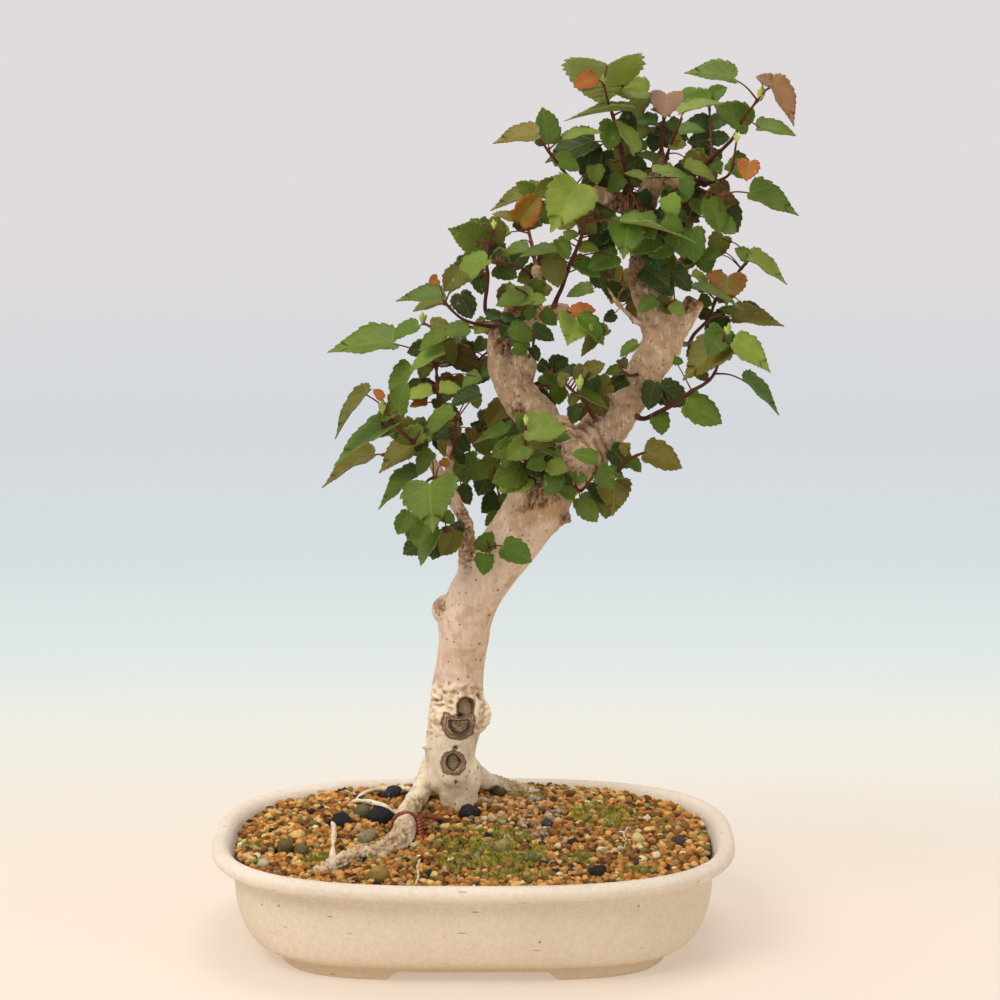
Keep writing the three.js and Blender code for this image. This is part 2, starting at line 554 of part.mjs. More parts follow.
// Leafy shoots. Stems: [x, z] points in the elevation, depth and radius from base to tip.
// Leaves: [x, z of the notch, x, z of the tip, seen width, tone, underside shown, turn of the
// blade about its rib in radians].
const UNDER = true;
const SHOOTS = {
  apex_left: {
    stems: [{
      path: [
        [88, 422], [86.5, 436], [78.3, 471.4], [75.9, 478], [73, 489],
      ],
      depth: [22, 2],
      r: [1.9, 1],
    }],
    bud: [73, 490, 2.2],
    leaves: [
      [75.2, 499.3, 69.5, 478, 44, 'g', UNDER, -0.5], [88, 474.5, 51.5, 468.5, 7, 'l'],
      [68, 457.5, 40.7, 445.5, 18, 'd'], [78, 468, 76.5, 452, 14, 'g'], [90.5, 451.5, 79.6, 469, 8, 'l'],
      [84, 437, 76, 429, 10, 'g'],
    ],
  },
  apex_front: {
    stems: [{ path: [[68, 428], [60, 431], [44.3, 449.3], [35.5, 461.2]], depth: [18, -30], r: [1.7, 1] }],
    leaves: [
      [36, 461, 11.3, 456, 20, 'l'], [42, 456, 39, 476, 10, 'g'], [51.5, 458.5, 72, 462, 7, 'l'],
      [47, 447, 60, 441, 9, 'g'],
    ],
  },
  apex_centre: {
    stems: [{ path: [[106, 442], [105.5, 452], [107, 471]], depth: [25, 44], r: [1.8, 1.1] }],
    leaves: [
      [97.5, 485, 78.5, 485, 14, 'l'], [108.2, 483, 107, 470.8, 18.5, 'p'], [103, 468, 89.5, 468, 8, 'g'],
      [104, 446, 92, 450, 7, 'g'],
    ],
  },
  apex_right_inner: {
    stems: [{ path: [[107, 442], [110, 453], [117, 470]], depth: [24, -8], r: [1.5, 1] }],
    leaves: [
      [117, 473, 140, 478, 7, 'l'], [115.5, 463, 130, 463, 8, 'g'],
    ],
  },
  top_right_back: {
    stems: [{
      path: [
        [123, 432.5], [131, 440], [133.5, 448.6], [132.8, 466], [132, 480],
      ],
      depth: [23, 78],
      r: [1.6, 1],
    }],
    leaves: [
      [132, 480, 115.5, 480, 12, 'g'], [132.8, 466, 119, 467.7, 11, 'd'], [132, 458, 120, 457, 10, 'd'],
    ],
  },
  top_right: {
    stems: [{
      path: [
        [126, 432], [130.3, 443], [145.7, 459], [150.5, 468.3], [159, 480],
      ],
      depth: [22, -14],
      r: [1.9, 1.1],
    }],
    bud: [161, 482, 3],
    leaves: [
      [144.9, 492.5, 118, 495, 14, 'g'], [168.2, 489, 179.6, 465.8, 10, 'p'],
      [159.7, 464.6, 180.8, 460.3, 9, 'g'], [154, 466, 135, 477, 15, 'g'],
    ],
  },
  top_right_front: {
    stems: [{
      path: [
        [118.5, 432.5], [137, 435], [144.3, 439.4], [147.6, 456.6],
      ],
      depth: [22, -48],
      r: [1.6, 1],
    }],
    bud: [147.8, 458, 2],
    leaves: [
      [143, 445, 153.5, 436.6, 9, 'g'], [155.2, 445.5, 153.2, 435.4, 12, 'y'],
      [119, 443.5, 136.5, 434.5, 9, 'l'], [101.5, 440, 124.5, 433.5, 7, 'l'],
    ],
  },
  right_shoulder: {
    stems: [{ path: [[122, 432], [127, 429.5], [134, 429], [139, 427]], depth: [23, -26], r: [1.5, 0.9] }],
    leaves: [
      [156, 428.5, 183.2, 415.7, 15, 'g'], [137.8, 424.7, 149.4, 406.3, 13, 'd'],
      [133, 424, 139.3, 406, 12, 'g'], [127, 425, 128, 416, 11, 'g'],
    ],
  },
  right_upper: {
    stems: [{ path: [[98, 402], [106, 404], [113, 410], [121, 410]], depth: [26, -12], r: [1.5, 0.9] }],
    leaves: [
      [107, 421, 123.7, 408, 7, 'g'], [123.4, 408, 124.7, 389, 15, 'g'], [109.3, 404, 120, 392, 8, 'g'],
    ],
  },
  right_upper_back: {
    stems: [{ path: [[101, 384], [108, 388], [115, 389]], depth: [28, 70], r: [1.5, 0.9] }],
    leaves: [
      [96.5, 387, 110.5, 376.5, 14, 'd'], [111.7, 386, 122, 380, 9, 'd'], [118, 392, 128, 396, 10, 'd'],
    ],
  },
  right_middle: {
    stems: [{
      path: [
        [113, 345], [122, 343], [125, 348], [134, 358], [137.4, 368], [156.3, 391.6],
      ],
      depth: [29, 62],
      r: [2, 1.2],
    }],
    leaves: [
      [144, 381, 143, 365.7, 22.5, 'r'], [156.3, 391.6, 177.5, 376.8, 11, 'l'],
      [124, 382.6, 133.7, 375.7, 5, 'l'], [126, 374, 153, 362.5, 6, 'l'], [147.6, 358, 176.3, 353, 12, 'o'],
    ],
  },
  right_lower: {
    stems: [{
      path: [
        [86, 308], [96, 300], [106, 304], [115.7, 309.4], [124.5, 316], [132, 320.3], [137.2, 326],
        [142.7, 348],
      ],
      depth: [25, -34],
      r: [2.2, 1.3],
    }],
    bud: [144.4, 350, 2.4],
    leaves: [
      [143, 343, 119.5, 322, 17, 'o'], [148.7, 344, 169, 326.5, 13, 'l'], [154.7, 322, 174.4, 302, 9, 'g'],
      [121.5, 308, 142, 297.5, 17, 'g'], [107, 318, 121, 308, 16, 'd'],
      [106.5, 303.3, 107.6, 290.5, 11, 'g'], [103, 320, 100, 305, 8, 'd'],
    ],
  },
  lower_right: {
    stems: [{ path: [[70, 272], [80, 268], [89.5, 276.7], [98, 280.6]], depth: [20, -34], r: [2, 1.2] }],
    leaves: [
      [98, 280.6, 119.4, 271.6, 15, 'o'], [81, 264, 80, 245, 19, 'o'],
    ],
  },
  lower_centre: {
    stems: [{ path: [[56, 262], [61, 258], [66, 263], [71, 271]], depth: [18, -42], r: [1.6, 1] }],
    leaves: [
      [71.5, 271, 80, 259, 11, 'g'], [60.7, 253.5, 70.8, 239.7, 12, 'g'], [58, 255, 47, 259.5, 8, 'g'],
      [70, 276, 56, 279.5, 8, 'g'],
    ],
  },
  centre_tall: {
    stems: [{
      path: [
        [45, 361], [47, 368], [50.2, 375], [53.3, 384.4], [57.7, 395], [60.8, 403], [62.7, 411.3],
        [62, 424],
      ],
      depth: [31, -18],
      r: [2.2, 1.2],
    }],
    bud: [61.5, 421, 4.4],
    leaves: [
      [58.5, 433, 43.5, 407, 27, 'l'], [87.5, 412, 84.6, 392, 20, 'g'], [87, 411.5, 125.4, 400.5, 7, 'l'],
      [47, 395.4, 26.5, 392.5, 8, 'g'], [48, 402, 54, 391, 8, 'g'], [44.5, 393, 47.7, 375, 12, 'o'],
      [57, 389, 72, 381, 9, 'g'], [81, 393, 65, 386, 12, 'g'],
    ],
  },
  back_left_top: {
    stems: [{ path: [[36, 384], [33, 400], [31, 409], [30, 420]], depth: [38, 84], r: [1.8, 1] }],
    bud: [30, 421, 4],
    leaves: [
      [38, 429, 10, 418.5, 11, 'o'], [27, 413, 38, 428, 16, 'r'], [36, 421, 43, 411, 12, 'g'],
      [20, 406.5, 5, 398.5, 8, 'g'], [31, 397, 17, 394, 7, 'g'],
    ],
  },
  left_top: {
    stems: [{ path: [[36, 372], [31, 384], [22, 388], [14, 390]], depth: [36, -2], r: [1.6, 0.9] }],
    leaves: [
      [13, 387, 25, 381, 12, 'd'], [34, 370, 36, 381.5, 12, 'g'], [7, 390, -14, 371, 11, 'l'],
    ],
  },
  left_upright: {
    stems: [{
      path: [
        [15, 357], [7.5, 360.6], [8.3, 380], [7.7, 389.4], [9.6, 400.7], [11.7, 409],
      ],
      depth: [38, 14],
      r: [1.9, 1],
    }],
    bud: [11.7, 409.5, 2],
    leaves: [
      [1.5, 401, -14, 409, 19, 'g'], [3, 383, 5, 371, 10, 'd'],
    ],
  },
  left_middle: {
    stems: [{ path: [[14, 352], [-5, 356.6], [-16, 366]], depth: [37, -22], r: [1.8, 1] }],
    leaves: [
      [-7.2, 385, -16, 373.2, 13, 'o'], [-18.4, 370, -43.6, 367.2, 9, 'g'],
      [-15.5, 367, -34, 361.5, 7, 'o'],
    ],
  },
  left_middle_low: {
    stems: [{ path: [[13, 348], [-4, 353], [-20, 351], [-28, 355]], depth: [37, 62], r: [1.7, 1] }],
    bud: [-28.5, 356, 2.8],
    leaves: [
      [-32, 353.5, -45.3, 345.8, 8, 'g'], [-24, 354, -12, 352, 7, 'o'], [-15.7, 349, -30.5, 339, 8, 'g'],
      [-3, 352, -17, 348, 9, 'g'],
    ],
  },
  left_tall: {
    stems: [{
      path: [
        [-13, 282], [-14.5, 292.7], [-19, 305.5], [-20.3, 318.4], [-21.2, 331],
      ],
      depth: [28, 58],
      r: [2, 1.2],
    }],
    leaves: [
      [-46.3, 343.8, -82.6, 338, 16, 'g'], [-11, 331.5, -6, 350, 26, 'd', UNDER],
      [-35.5, 330.5, -47.3, 314, 9, 'g'], [-24, 315.8, -40, 311, 8, 'l'], [-19, 317, -6, 316, 8, 'l'],
      [3.5, 325, -6.5, 317, 8, 'g'],
    ],
  },
  left_low_front: {
    stems: [{
      path: [
        [-27, 279], [-29.5, 282], [-43.6, 294.7], [-46.7, 298.8],
      ],
      depth: [7, -34],
      r: [2, 1.2],
    }],
    bud: [-52, 305, 3],
    leaves: [
      [-60.5, 315, -79, 288.3, 8, 'o'], [-45, 297, -79.7, 272.9, 12, 'g'], [-43.6, 294.7, -58, 289, 7, 'l'],
    ],
  },
  left_low: {
    stems: [{ path: [[-27, 279], [-34, 280], [-44, 281], [-52, 279]], depth: [6, 46], r: [2.2, 1.6] }],
    leaves: [
      [-58, 278.7, -86.8, 260, 11, 'o'], [-32, 287, -54, 268.5, 13, 'o'], [-25, 289, -37, 288, 7, 'o'],
    ],
  },
  left_inner: {
    stems: [{ path: [[-13, 276], [-10.5, 287], [-10, 299]], depth: [25, 2], r: [1.6, 1] }],
    leaves: [
      [3.5, 315, -13, 307.5, 10, 'd'], [-14, 296, -23, 288, 9, 'd'],
    ],
  },
  left_drooping: {
    stems: [{ path: [[-17, 265], [-25, 265], [-31, 257]], depth: [11, -28], r: [1.6, 1] }],
    leaves: [
      [-25, 262, -24.3, 236.5, 31, 'l'], [-37, 245, -43.8, 232.6, 11, 'g'],
      [-23.5, 280.6, -32, 267, 7, 'g'],
    ],
  },
  left_drooping_back: {
    stems: [{ path: [[-13, 262], [-7, 266], [-4, 276]], depth: [19, 62], r: [1.4, 0.9] }],
    leaves: [
      [-6, 279, -4.7, 263, 17, 'g'], [-8, 261, -2, 250, 9, 'd'], [-2, 272, 8, 266, 12, 'g'],
      [-8, 270, -16, 264, 11, 'g'],
    ],
  },
  low_left: {
    stems: [{ path: [[-5, 238], [-10, 237], [-16, 235]], depth: [20, -18], r: [1.4, 0.9] }],
    leaves: [
      [-20.3, 235, -30.5, 214.4, 7, 'g'], [-13, 230, -22, 219.6, 9, 'd'],
    ],
  },
  fork_inner: {
    stems: [{ path: [[20, 236], [16, 250], [12, 268]], depth: [27, 72], r: [1.6, 1] }],
    leaves: [
      [10, 271, 3, 255, 14, 'd'], [14, 254, 5, 246, 13, 'd'], [20, 256, 20, 246, 10, 'g'],
      [16, 266, 26, 262, 12, 'd'],
    ],
  },
  trunk_sprout: {
    stems: [{ path: [[9, 222], [9, 225], [8, 229]], depth: [17, -10], r: [1.4, 0.9] }],
    leaves: [
      [12, 229, -0.5, 226, 11, 'g'], [6.3, 220.7, 6, 209.6, 11, 'g'], [17.3, 226, 33.3, 216.2, 13, 'g'],
    ],
  },
  centre_front: {
    stems: [{ path: [[38, 259], [33, 265], [30, 276], [30, 297]], depth: [12, -34], r: [1.8, 1] }],
    bud: [30, 298, 2],
    leaves: [
      [32, 265, 14, 258, 13, 'l'], [30, 294, 53, 293.5, 16, 'l'], [31, 286, 19, 276.5, 13, 'g'],
    ],
  },
  left_branch_back: {
    stems: [{ path: [[33, 306], [20, 300], [9, 297]], depth: [31, 78], r: [1.6, 1] }],
    leaves: [
      [4, 299, 17.5, 300, 13, 'd', UNDER], [24.7, 294.7, 0, 285.4, 9, 'g'], [14, 297, 22, 288, 12, 'd'],
    ],
  },
  centre_gap: {
    stems: [{
      path: [
        [74, 296], [67, 303], [64, 310.7], [57, 315.8], [53, 319.6],
      ],
      depth: [22, -26],
      r: [1.7, 1],
    }],
    bud: [60.5, 319, 3],
    leaves: [
      [62.5, 326, 47, 325.5, 7, 'd'], [59, 315, 76.5, 306, 7, 'g'],
    ],
  },
  centre_back: {
    stems: [{ path: [[30, 316], [39, 319], [45, 327]], depth: [33, 80], r: [1.6, 1] }],
    leaves: [
      [39.5, 325, 47.5, 316, 9, 'g'], [48, 319, 49, 308, 10, 'g'], [45, 330, 54, 335, 11, 'd'],
      [40, 318, 31, 312, 11, 'd'],
    ],
  },
  right_trunk_left: {
    stems: [{ path: [[96, 326], [88, 325], [83, 330]], depth: [26, -22], r: [1.4, 0.9] }],
    leaves: [
      [87.5, 322, 74.5, 315, 9, 'd'], [93, 343, 83.5, 335.7, 6, 'g'],
    ],
  },
  arm_end: {
    stems: [{ path: [[53, 361], [60, 360], [65, 355]], depth: [31, -8], r: [1.5, 0.9] }],
    leaves: [
      [56.5, 361, 69.5, 362, 8, 'y'], [58.3, 356.9, 54, 342.7, 20, 'l'], [61, 358, 74, 342.5, 9, 'g'],
    ],
  },
  right_trunk_back: {
    stems: [{ path: [[99, 368], [90, 368], [84, 378]], depth: [29, 76], r: [1.6, 1] }],
    leaves: [
      [85, 385, 78, 366, 16, 'o'], [90, 380, 100, 384, 12, 'd'], [82, 372, 72, 377, 11, 'd'],
    ],
  },
  middle_twig: {
    stems: [{ path: [[36, 362], [32, 370], [24, 375]], depth: [35, 2], r: [1.4, 0.9] }],
    leaves: [
      [33, 370, 13, 365, 12, 'l'],
    ],
  },
  left_stub_shoot: {
    stems: [{ path: [[15, 340], [8, 338], [3, 334]], depth: [36, 74], r: [1.4, 0.9] }],
    leaves: [
      [1, 338, -10, 341, 12, 'd'], [6, 328, 0, 320, 11, 'd'],
    ],
  },
  stub_sprout: {
    stems: [{ path: [[31, 334], [34, 342], [35, 350]], depth: [32, -14], r: [1.3, 0.9] }],
    leaves: [
      [34, 351, 46, 345, 9, 'd'],
    ],
  },
};

// A stem's points in space; its depth changes evenly along it
function stemPoints({ path, depth: [near, far] }) {
  const reaches = [0];
  for (let i = 1; i < path.length; i += 1) {
    reaches.push(reaches[i - 1] + Math.hypot(path[i][0] - path[i - 1][0], path[i][1] - path[i - 1][1]));
  }
  const total = reaches[reaches.length - 1];
  return path.map(([x, z], i) => spot(x, z, near + ((far - near) * reaches[i]) / total));
}

// The stem point that a leaf springs from: the nearest in the elevation, a little lower
function leafRoot(stems, x, z) {
  let best = null;
  for (const stem of stems) {
    const points = stemPoints(stem);
    for (let i = 0; i < points.length - 1; i += 1) {
      for (let k = i === 0 ? 5 : 1; k <= 8; k += 1) {
        const t = k / 8;
        const flatX = THREE.MathUtils.lerp(stem.path[i][0], stem.path[i + 1][0], t);
        const flatZ = THREE.MathUtils.lerp(stem.path[i][1], stem.path[i + 1][1], t);
        const gap = Math.abs(Math.hypot(flatX - x, flatZ - z) - 5) + (flatZ > z ? 2 : 0);
        if (!best || gap < best.gap) best = { gap, point: points[i].clone().lerp(points[i + 1], t) };
      }
    }
  }
  return best.point;
}

// Depth steps tried along the line of sight until a leaf stands clear of its neighbours
const SLIDES = [0, 4, -4, 8, -8, 12, -12, 16, -16, 20, -20, 26, -26, 32, -32];
const CLEARANCE = 0.35;

function makeLeaf(row, stems, draw, slide) {
  const [x, z, tipX, tipZ, width, tone, under, turn = 0] = row;
  const root = leafRoot(stems, x, z);
  const depth = root.y + SET_BACK[tone] + draw.depth + slide;
  return {
    root,
    junction: spot(x, z, depth),
    tip: spot(tipX, tipZ, depth),
    width,
    side: under ? -1 : 1,
    roll: draw.roll * Math.min(1, width / (0.8 * Math.hypot(tipX - x, tipZ - z))) + turn,
  };
}

function boxesMeet(a, b) {
  return [0, 1, 2].every((k) => a.min[k] <= b.max[k] && b.min[k] <= a.max[k]);
}

function meets(body, bodyBox, others) {
  return others.some((other) => boxesMeet(bodyBox, other.box) && !isOpenSpace(body.intersect(other.body)));
}

function makeShoots(trunk, trunkGrown) {
  const shoots = new Map();
  const taken = [{ owner: 'trunk', body: trunk, box: trunk.boundingBox() }];
  for (const [name, { stems, bud }] of Object.entries(SHOOTS)) {
    const parts = stems.map((stem) => {
      const points = stemPoints(stem);
      const rows = points.map((p, i) => [p, THREE.MathUtils.lerp(...stem.r, i / (points.length - 1))]);
      return limb(rows, 4, points.length - 1);
    });
    if (bud) {
      const [x, z, size] = bud;
      const stem = stemPoints(stems[0]);
      parts.push(ball(spot(x, z, stem[stem.length - 1].y), [size, size, size * 1.4], 5, 3));
    }
    const body = united(parts).subtract(trunkGrown);
    shoots.set(name, { stem: largest(body), leaves: [] });
    const kept = shoots.get(name).stem;
    taken.push({ owner: name, stem: true, body: kept, box: kept.boundingBox() });
  }
  const draw = drawer(7);
  for (const [name, { stems, leaves }] of Object.entries(SHOOTS)) {
    for (const row of leaves) {
      const chance = { depth: (draw() - 0.5) * 6, roll: (draw() - 0.5) * 0.3 };
      const choice = clearLeaf(row, stems, chance, taken, name);
      if (!choice) continue;
      shoots.get(name).leaves.push(choice);
      for (const piece of choice) taken.push({ owner: name, body: piece, box: piece.boundingBox() });
    }
  }
  return shoots;
}

// The first place where a leaf stands clear of all other shoots, if there is one
function clearLeaf(row, stems, chance, taken, name) {
  const others = taken.filter(({ owner }) => owner !== name);
  const own = taken.filter(({ owner, stem }) => owner === name && !stem);
  let second = null;
  for (const slide of SLIDES) {
    const leaf = makeLeaf(row, stems, chance, slide);
    const wide = leafPieces(leaf, CLEARANCE);
    if (wide.some((piece) => meets(piece, piece.boundingBox(), others))) continue;
    const pieces = leafPieces(leaf);
    if (!wide.some((piece) => meets(piece, piece.boundingBox(), own))) return pieces;
    second ??= pieces;
  }
  return second;
}

function largest(body) {
  return body.decompose().reduce((best, piece) => (piece.volume() > best.volume() ? piece : best));
}

// Assembly
const pieces = new Map();
const trunk = makeTrunk();
const trunkGrown = makeTrunk(SEAT_GAP);
const wire = makeWire().subtract(trunkGrown);
pieces.set('pot', [makePot(), COLOURS.pot]);
pieces.set('soil', [makeSoil([trunkGrown, makeWire()]), COLOURS.soil]);
pieces.set('trunk', [trunk, COLOURS.bark]);
pieces.set('wire_tie', [largest(wire), COLOURS.wire]);
pieces.set('drain_screen_left', [makeScreen(-1), COLOURS.screen]);
pieces.set('drain_screen_right', [makeScreen(1), COLOURS.screen]);
for (const [name, { stem, leaves }] of makeShoots(trunk, trunkGrown)) {
  const body = largest(united([stem, ...leaves.flat()]));
  pieces.set(`shoot_${name}`, [body, COLOURS.leaf]);
}

const bonsai = new THREE.Group();
const whole = new THREE.Box3();
for (const [name, [body, [colour, roughness]]] of pieces) {
  const material = new THREE.MeshStandardMaterial({ color: colour, roughness, metalness: 0 });
  const mesh = new THREE.Mesh(geometryOf(body), material);
  mesh.name = name;
  bonsai.add(mesh);
  whole.expandByObject(mesh);
}

// The origin is the middle of the whole tree's footprint box, on the table
bonsai.position.set(-(whole.min.x + whole.max.x) / 2, -(whole.min.y + whole.max.y) / 2, -whole.min.z);

export default bonsai;
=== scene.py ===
# Sea hibiscus bonsai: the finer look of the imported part.
# Tables are in millimetres about the pot's middle: X to the right, Y away, Z up.
import math
from collections import namedtuple
import bpy
import numpy as np
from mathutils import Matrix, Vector, noise
from mathutils.bvhtree import BVHTree


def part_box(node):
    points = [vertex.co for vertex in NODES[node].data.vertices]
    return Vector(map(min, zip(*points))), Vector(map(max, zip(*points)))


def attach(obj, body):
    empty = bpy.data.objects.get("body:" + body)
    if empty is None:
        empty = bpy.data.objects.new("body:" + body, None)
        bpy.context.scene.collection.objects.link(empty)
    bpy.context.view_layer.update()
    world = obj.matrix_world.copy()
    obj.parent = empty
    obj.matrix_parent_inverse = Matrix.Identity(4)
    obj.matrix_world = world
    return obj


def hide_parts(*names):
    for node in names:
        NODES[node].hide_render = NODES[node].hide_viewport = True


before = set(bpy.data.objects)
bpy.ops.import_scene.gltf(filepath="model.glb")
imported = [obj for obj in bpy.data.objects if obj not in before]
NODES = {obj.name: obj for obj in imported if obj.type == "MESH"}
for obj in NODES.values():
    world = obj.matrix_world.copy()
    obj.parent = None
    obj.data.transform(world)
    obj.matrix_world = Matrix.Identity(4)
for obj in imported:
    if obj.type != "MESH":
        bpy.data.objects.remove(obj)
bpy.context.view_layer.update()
MM = 0.001
pot_low, pot_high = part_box("pot")
CENTRE = np.array([(pot_low.x + pot_high.x) / 2, (pot_low.y + pot_high.y) / 2, 0.0])
# The photo's eye, and the upright plane y = 20 in which the tree was read: the elevation
EYE = np.array([15.2, -1500.0, 537.7])
ELEVATION_Y = 20.0
WHITE = (1, 1, 1)


def new_object(name, data):
    made = bpy.data.objects.new(name, data)
    bpy.context.collection.objects.link(made)
    return made


# Camera: lens and sensor in mm, the look down in degrees
LENS, SENSOR, LOOK_DOWN = 96.96, 36.0, 10.617
camera_data = bpy.data.cameras.new("camera")
camera_data.lens = LENS
camera_data.sensor_width = SENSOR
camera_data.clip_start = 0.1
camera_data.clip_end = 100.0
camera = new_object("camera", camera_data)
camera.location = Vector(EYE * MM + CENTRE)
camera.rotation_euler = (math.radians(90 - LOOK_DOWN), 0, 0)
bpy.context.scene.camera = camera

# Lamps: place and aim in m, size in m, power in W, colour
for name, place, aim, size, power, colour in [
    ("key_light", (-1.25, -1.3, 2.1), (0, 0, 0.2), 1.7, 42, (1.0, 0.98, 0.95)),
    ("top_light", (0.2, 0.4, 2.6), (0, 0, 0.2), 1.4, 25, (1.0, 0.99, 0.97)),
    ("fill_light", (1.8, -1.6, 0.9), (0, 0, 0.25), 1.6, 13, (1.0, 0.97, 0.93)),
    ("side_light", (-2.3, -0.8, 0.6), (0, 0, 0.2), 1.4, 7, (1.0, 0.98, 0.95)),
]:
    lamp = bpy.data.lights.new(name, "AREA")
    lamp.shape = "DISK"
    lamp.size = size
    lamp.energy = power
    lamp.color = colour
    light = new_object(name, lamp)
    light.location = place
    light.rotation_euler = (Vector(aim) - Vector(place)).to_track_quat("-Z", "Y").to_euler()
world = bpy.data.worlds.new("room")
bpy.context.scene.world = world
world.use_nodes = True
background = world.node_tree.nodes["Background"]
background.inputs[0].default_value = (0.92, 0.94, 0.97, 1)
background.inputs[1].default_value = 0.42
bpy.context.scene.view_settings.view_transform = "Standard"
bpy.context.scene.view_settings.look = "None"


class Draw:
    """Seeded draw, the same one that the solids were placed with."""

    def __init__(self, seed):
        self.state = seed

    def __call__(self, low=0.0, high=1.0):
        self.state = (self.state * 1664525 + 1013904223) & 0xFFFFFFFF
        return low + (high - low) * self.state / 4294967296


def linear(*colour):
    """sRGB 0-255 to scene-linear."""
    return np.array([c / 255 / 12.92 if c <= 10 else ((c / 255 + 0.055) / 1.055) ** 2.4 for c in colour])


def ramp(value, start, span):
    """0 at the start, 1 a span further on, level outside. A span below 0 runs backwards."""
    return np.clip((value - start) / span, 0, 1)


def unit(v):
    return v / np.linalg.norm(v)


def spot(x, z, depth):
    """A place read in the elevation plane, set at its own depth on the line of sight."""
    reach = (depth - EYE[1]) / (ELEVATION_Y - EYE[1])
    return np.array([EYE[0] + (x - EYE[0]) * reach, depth, EYE[2] + (z - EYE[2]) * reach])


def spot_at_height(x, z, height):
    """A place read in the elevation plane, set at its own height on the line of sight."""
    reach = (EYE[2] - height) / (EYE[2] - z)
    return spot(x, z, EYE[1] + (ELEVATION_Y - EYE[1]) * reach)


# Meshes
class Build:
    """Points, faces and what they carry, gathered for one object."""

    def __init__(self):
        self.points, self.faces, self.slots, self.tones, self.leaf = [], [], [], [], []
        self.count = 0

    def add(self, points, faces, tone, slot=0, leaf=None):
        """tone: one colour or one a point. slot: which material. leaf: three numbers a point."""
        points = np.asarray(points, float)
        self.points.append(points)
        self.faces.extend([tuple(self.count + i for i in face) for face in faces])
        self.slots.extend([slot] * len(faces))
        self.tones.append(np.broadcast_to(np.asarray(tone, float), (len(points), 3)))
        self.leaf.append(np.zeros((len(points), 3)) if leaf is None else leaf)
        self.count += len(points)


def make_object(name, build, materials, smooth=True, sharp=None):
    """An object of the part. sharp: the angle in degrees from which an edge isn't shaded smooth."""
    mesh = bpy.data.meshes.new(name)
    points = np.concatenate(build.points) * MM + CENTRE
    mesh.from_pydata(points.tolist(), [], build.faces)
    mesh.polygons.foreach_set("material_index", build.slots)
    mesh.polygons.foreach_set("use_smooth", [smooth] * len(build.faces))
    tones = np.concatenate(build.tones)
    tone = mesh.color_attributes.new("tone", "FLOAT_COLOR", "POINT")
    tone.data.foreach_set("color", np.c_[tones, np.ones(len(tones))].ravel())
    leaf = mesh.attributes.new("leaf", "FLOAT_VECTOR", "POINT")
    leaf.data.foreach_set("vector", np.concatenate(build.leaf).ravel())
    for material in materials:
        mesh.materials.append(material)
    mesh.update()
    if sharp is not None:
        mesh.set_sharp_from_angle(angle=math.radians(sharp))
    made = new_object(name, mesh)
    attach(made, "root")
    return made


def shaped_mesh(thing):
    """The mesh of an object with its modifiers applied."""
    bpy.context.view_layer.update()
    return bpy.data.meshes.new_from_object(thing.evaluated_get(bpy.context.evaluated_depsgraph_get()))


def facets(points, faces):
    return BVHTree.FromPolygons(points.tolist(), faces)


def reach_along(points):
    """How far along the line each of its points lies."""
    return np.r_[0, np.cumsum(np.linalg.norm(np.diff(points, axis=0), axis=1))]


CURVE_CUTS = 12


def smooth_path(points, values, spacing):
    """A curve through the points in even steps, and the values carried along it."""
    points = np.asarray(points, float)
    values = np.asarray(values, float)
    knots = np.r_[0, np.cumsum(np.sqrt(np.linalg.norm(np.diff(points, axis=0), axis=1)) + 1e-9)]
    slopes = np.diff(points, axis=0) / np.diff(knots)[:, None]
    tangents = np.empty_like(points)
    tangents[0], tangents[-1] = slopes[0], slopes[-1]
    for i in range(1, len(points) - 1):
        before, after = knots[i] - knots[i - 1], knots[i + 1] - knots[i]
        tangents[i] = (slopes[i] * before + slopes[i - 1] * after) / (before + after)
    fine, carried = [], []
    for i in range(len(points) - 1):
        h = knots[i + 1] - knots[i]
        for t in np.linspace(0, 1, CURVE_CUTS, endpoint=False):
            a, b = 2 * t**3 - 3 * t**2 + 1, t**3 - 2 * t**2 + t
            c, d = -2 * t**3 + 3 * t**2, t**3 - t**2
            fine.append(a * points[i] + b * h * tangents[i] + c * points[i + 1] + d * h * tangents[i + 1])
            carried.append(values[i] + (values[i + 1] - values[i]) * t)
    fine.append(points[-1])
    carried.append(values[-1])
    fine, carried = np.array(fine), np.array(carried)
    reach = reach_along(fine)
    steps = max(2, int(round(reach[-1] / spacing)))
    at = np.linspace(0, reach[-1], steps + 1)
    return np.array([np.interp(at, reach, fine[:, k]) for k in range(3)]).T, np.interp(at, reach, carried)


def ring_faces(rings, sides, first=0):
    """Faces between rings of points, each ring after the one before it."""
    faces = []
    for i in range(first, first + (rings - 1) * sides, sides):
        for j in range(sides):
            k = (j + 1) % sides
            faces.append((i + j, i + k, i + sides + k, i + sides + j))
    return faces


def tube(path, radii, sides):
    """A closed round tube along a path."""
    path = np.asarray(path, float)
    ways = np.gradient(path, axis=0)
    ways /= np.linalg.norm(ways, axis=1)[:, None] + 1e-12
    start = np.array([1.0, 0, 0]) if abs(ways[0][0]) < 0.8 else np.array([0, 1.0, 0])
    normal = unit(start - ways[0] * start.dot(ways[0]))
    turn = np.arange(sides) * 2 * math.pi / sides
    points = []
    for p, way, radius in zip(path, ways, radii):
        normal = unit(normal - way * normal.dot(way))
        side = np.cross(way, normal)
        points.append(p + radius * (np.cos(turn)[:, None] * normal + np.sin(turn)[:, None] * side))
    points = np.concatenate([*points, [path[0]], [path[-1]]])
    end = len(path) * sides
    faces = ring_faces(len(path), sides)
    for j in range(sides):
        k = (j + 1) % sides
        faces += [(end, k, j), (end + 1, end - sides + j, end - sides + k)]
    return points, faces


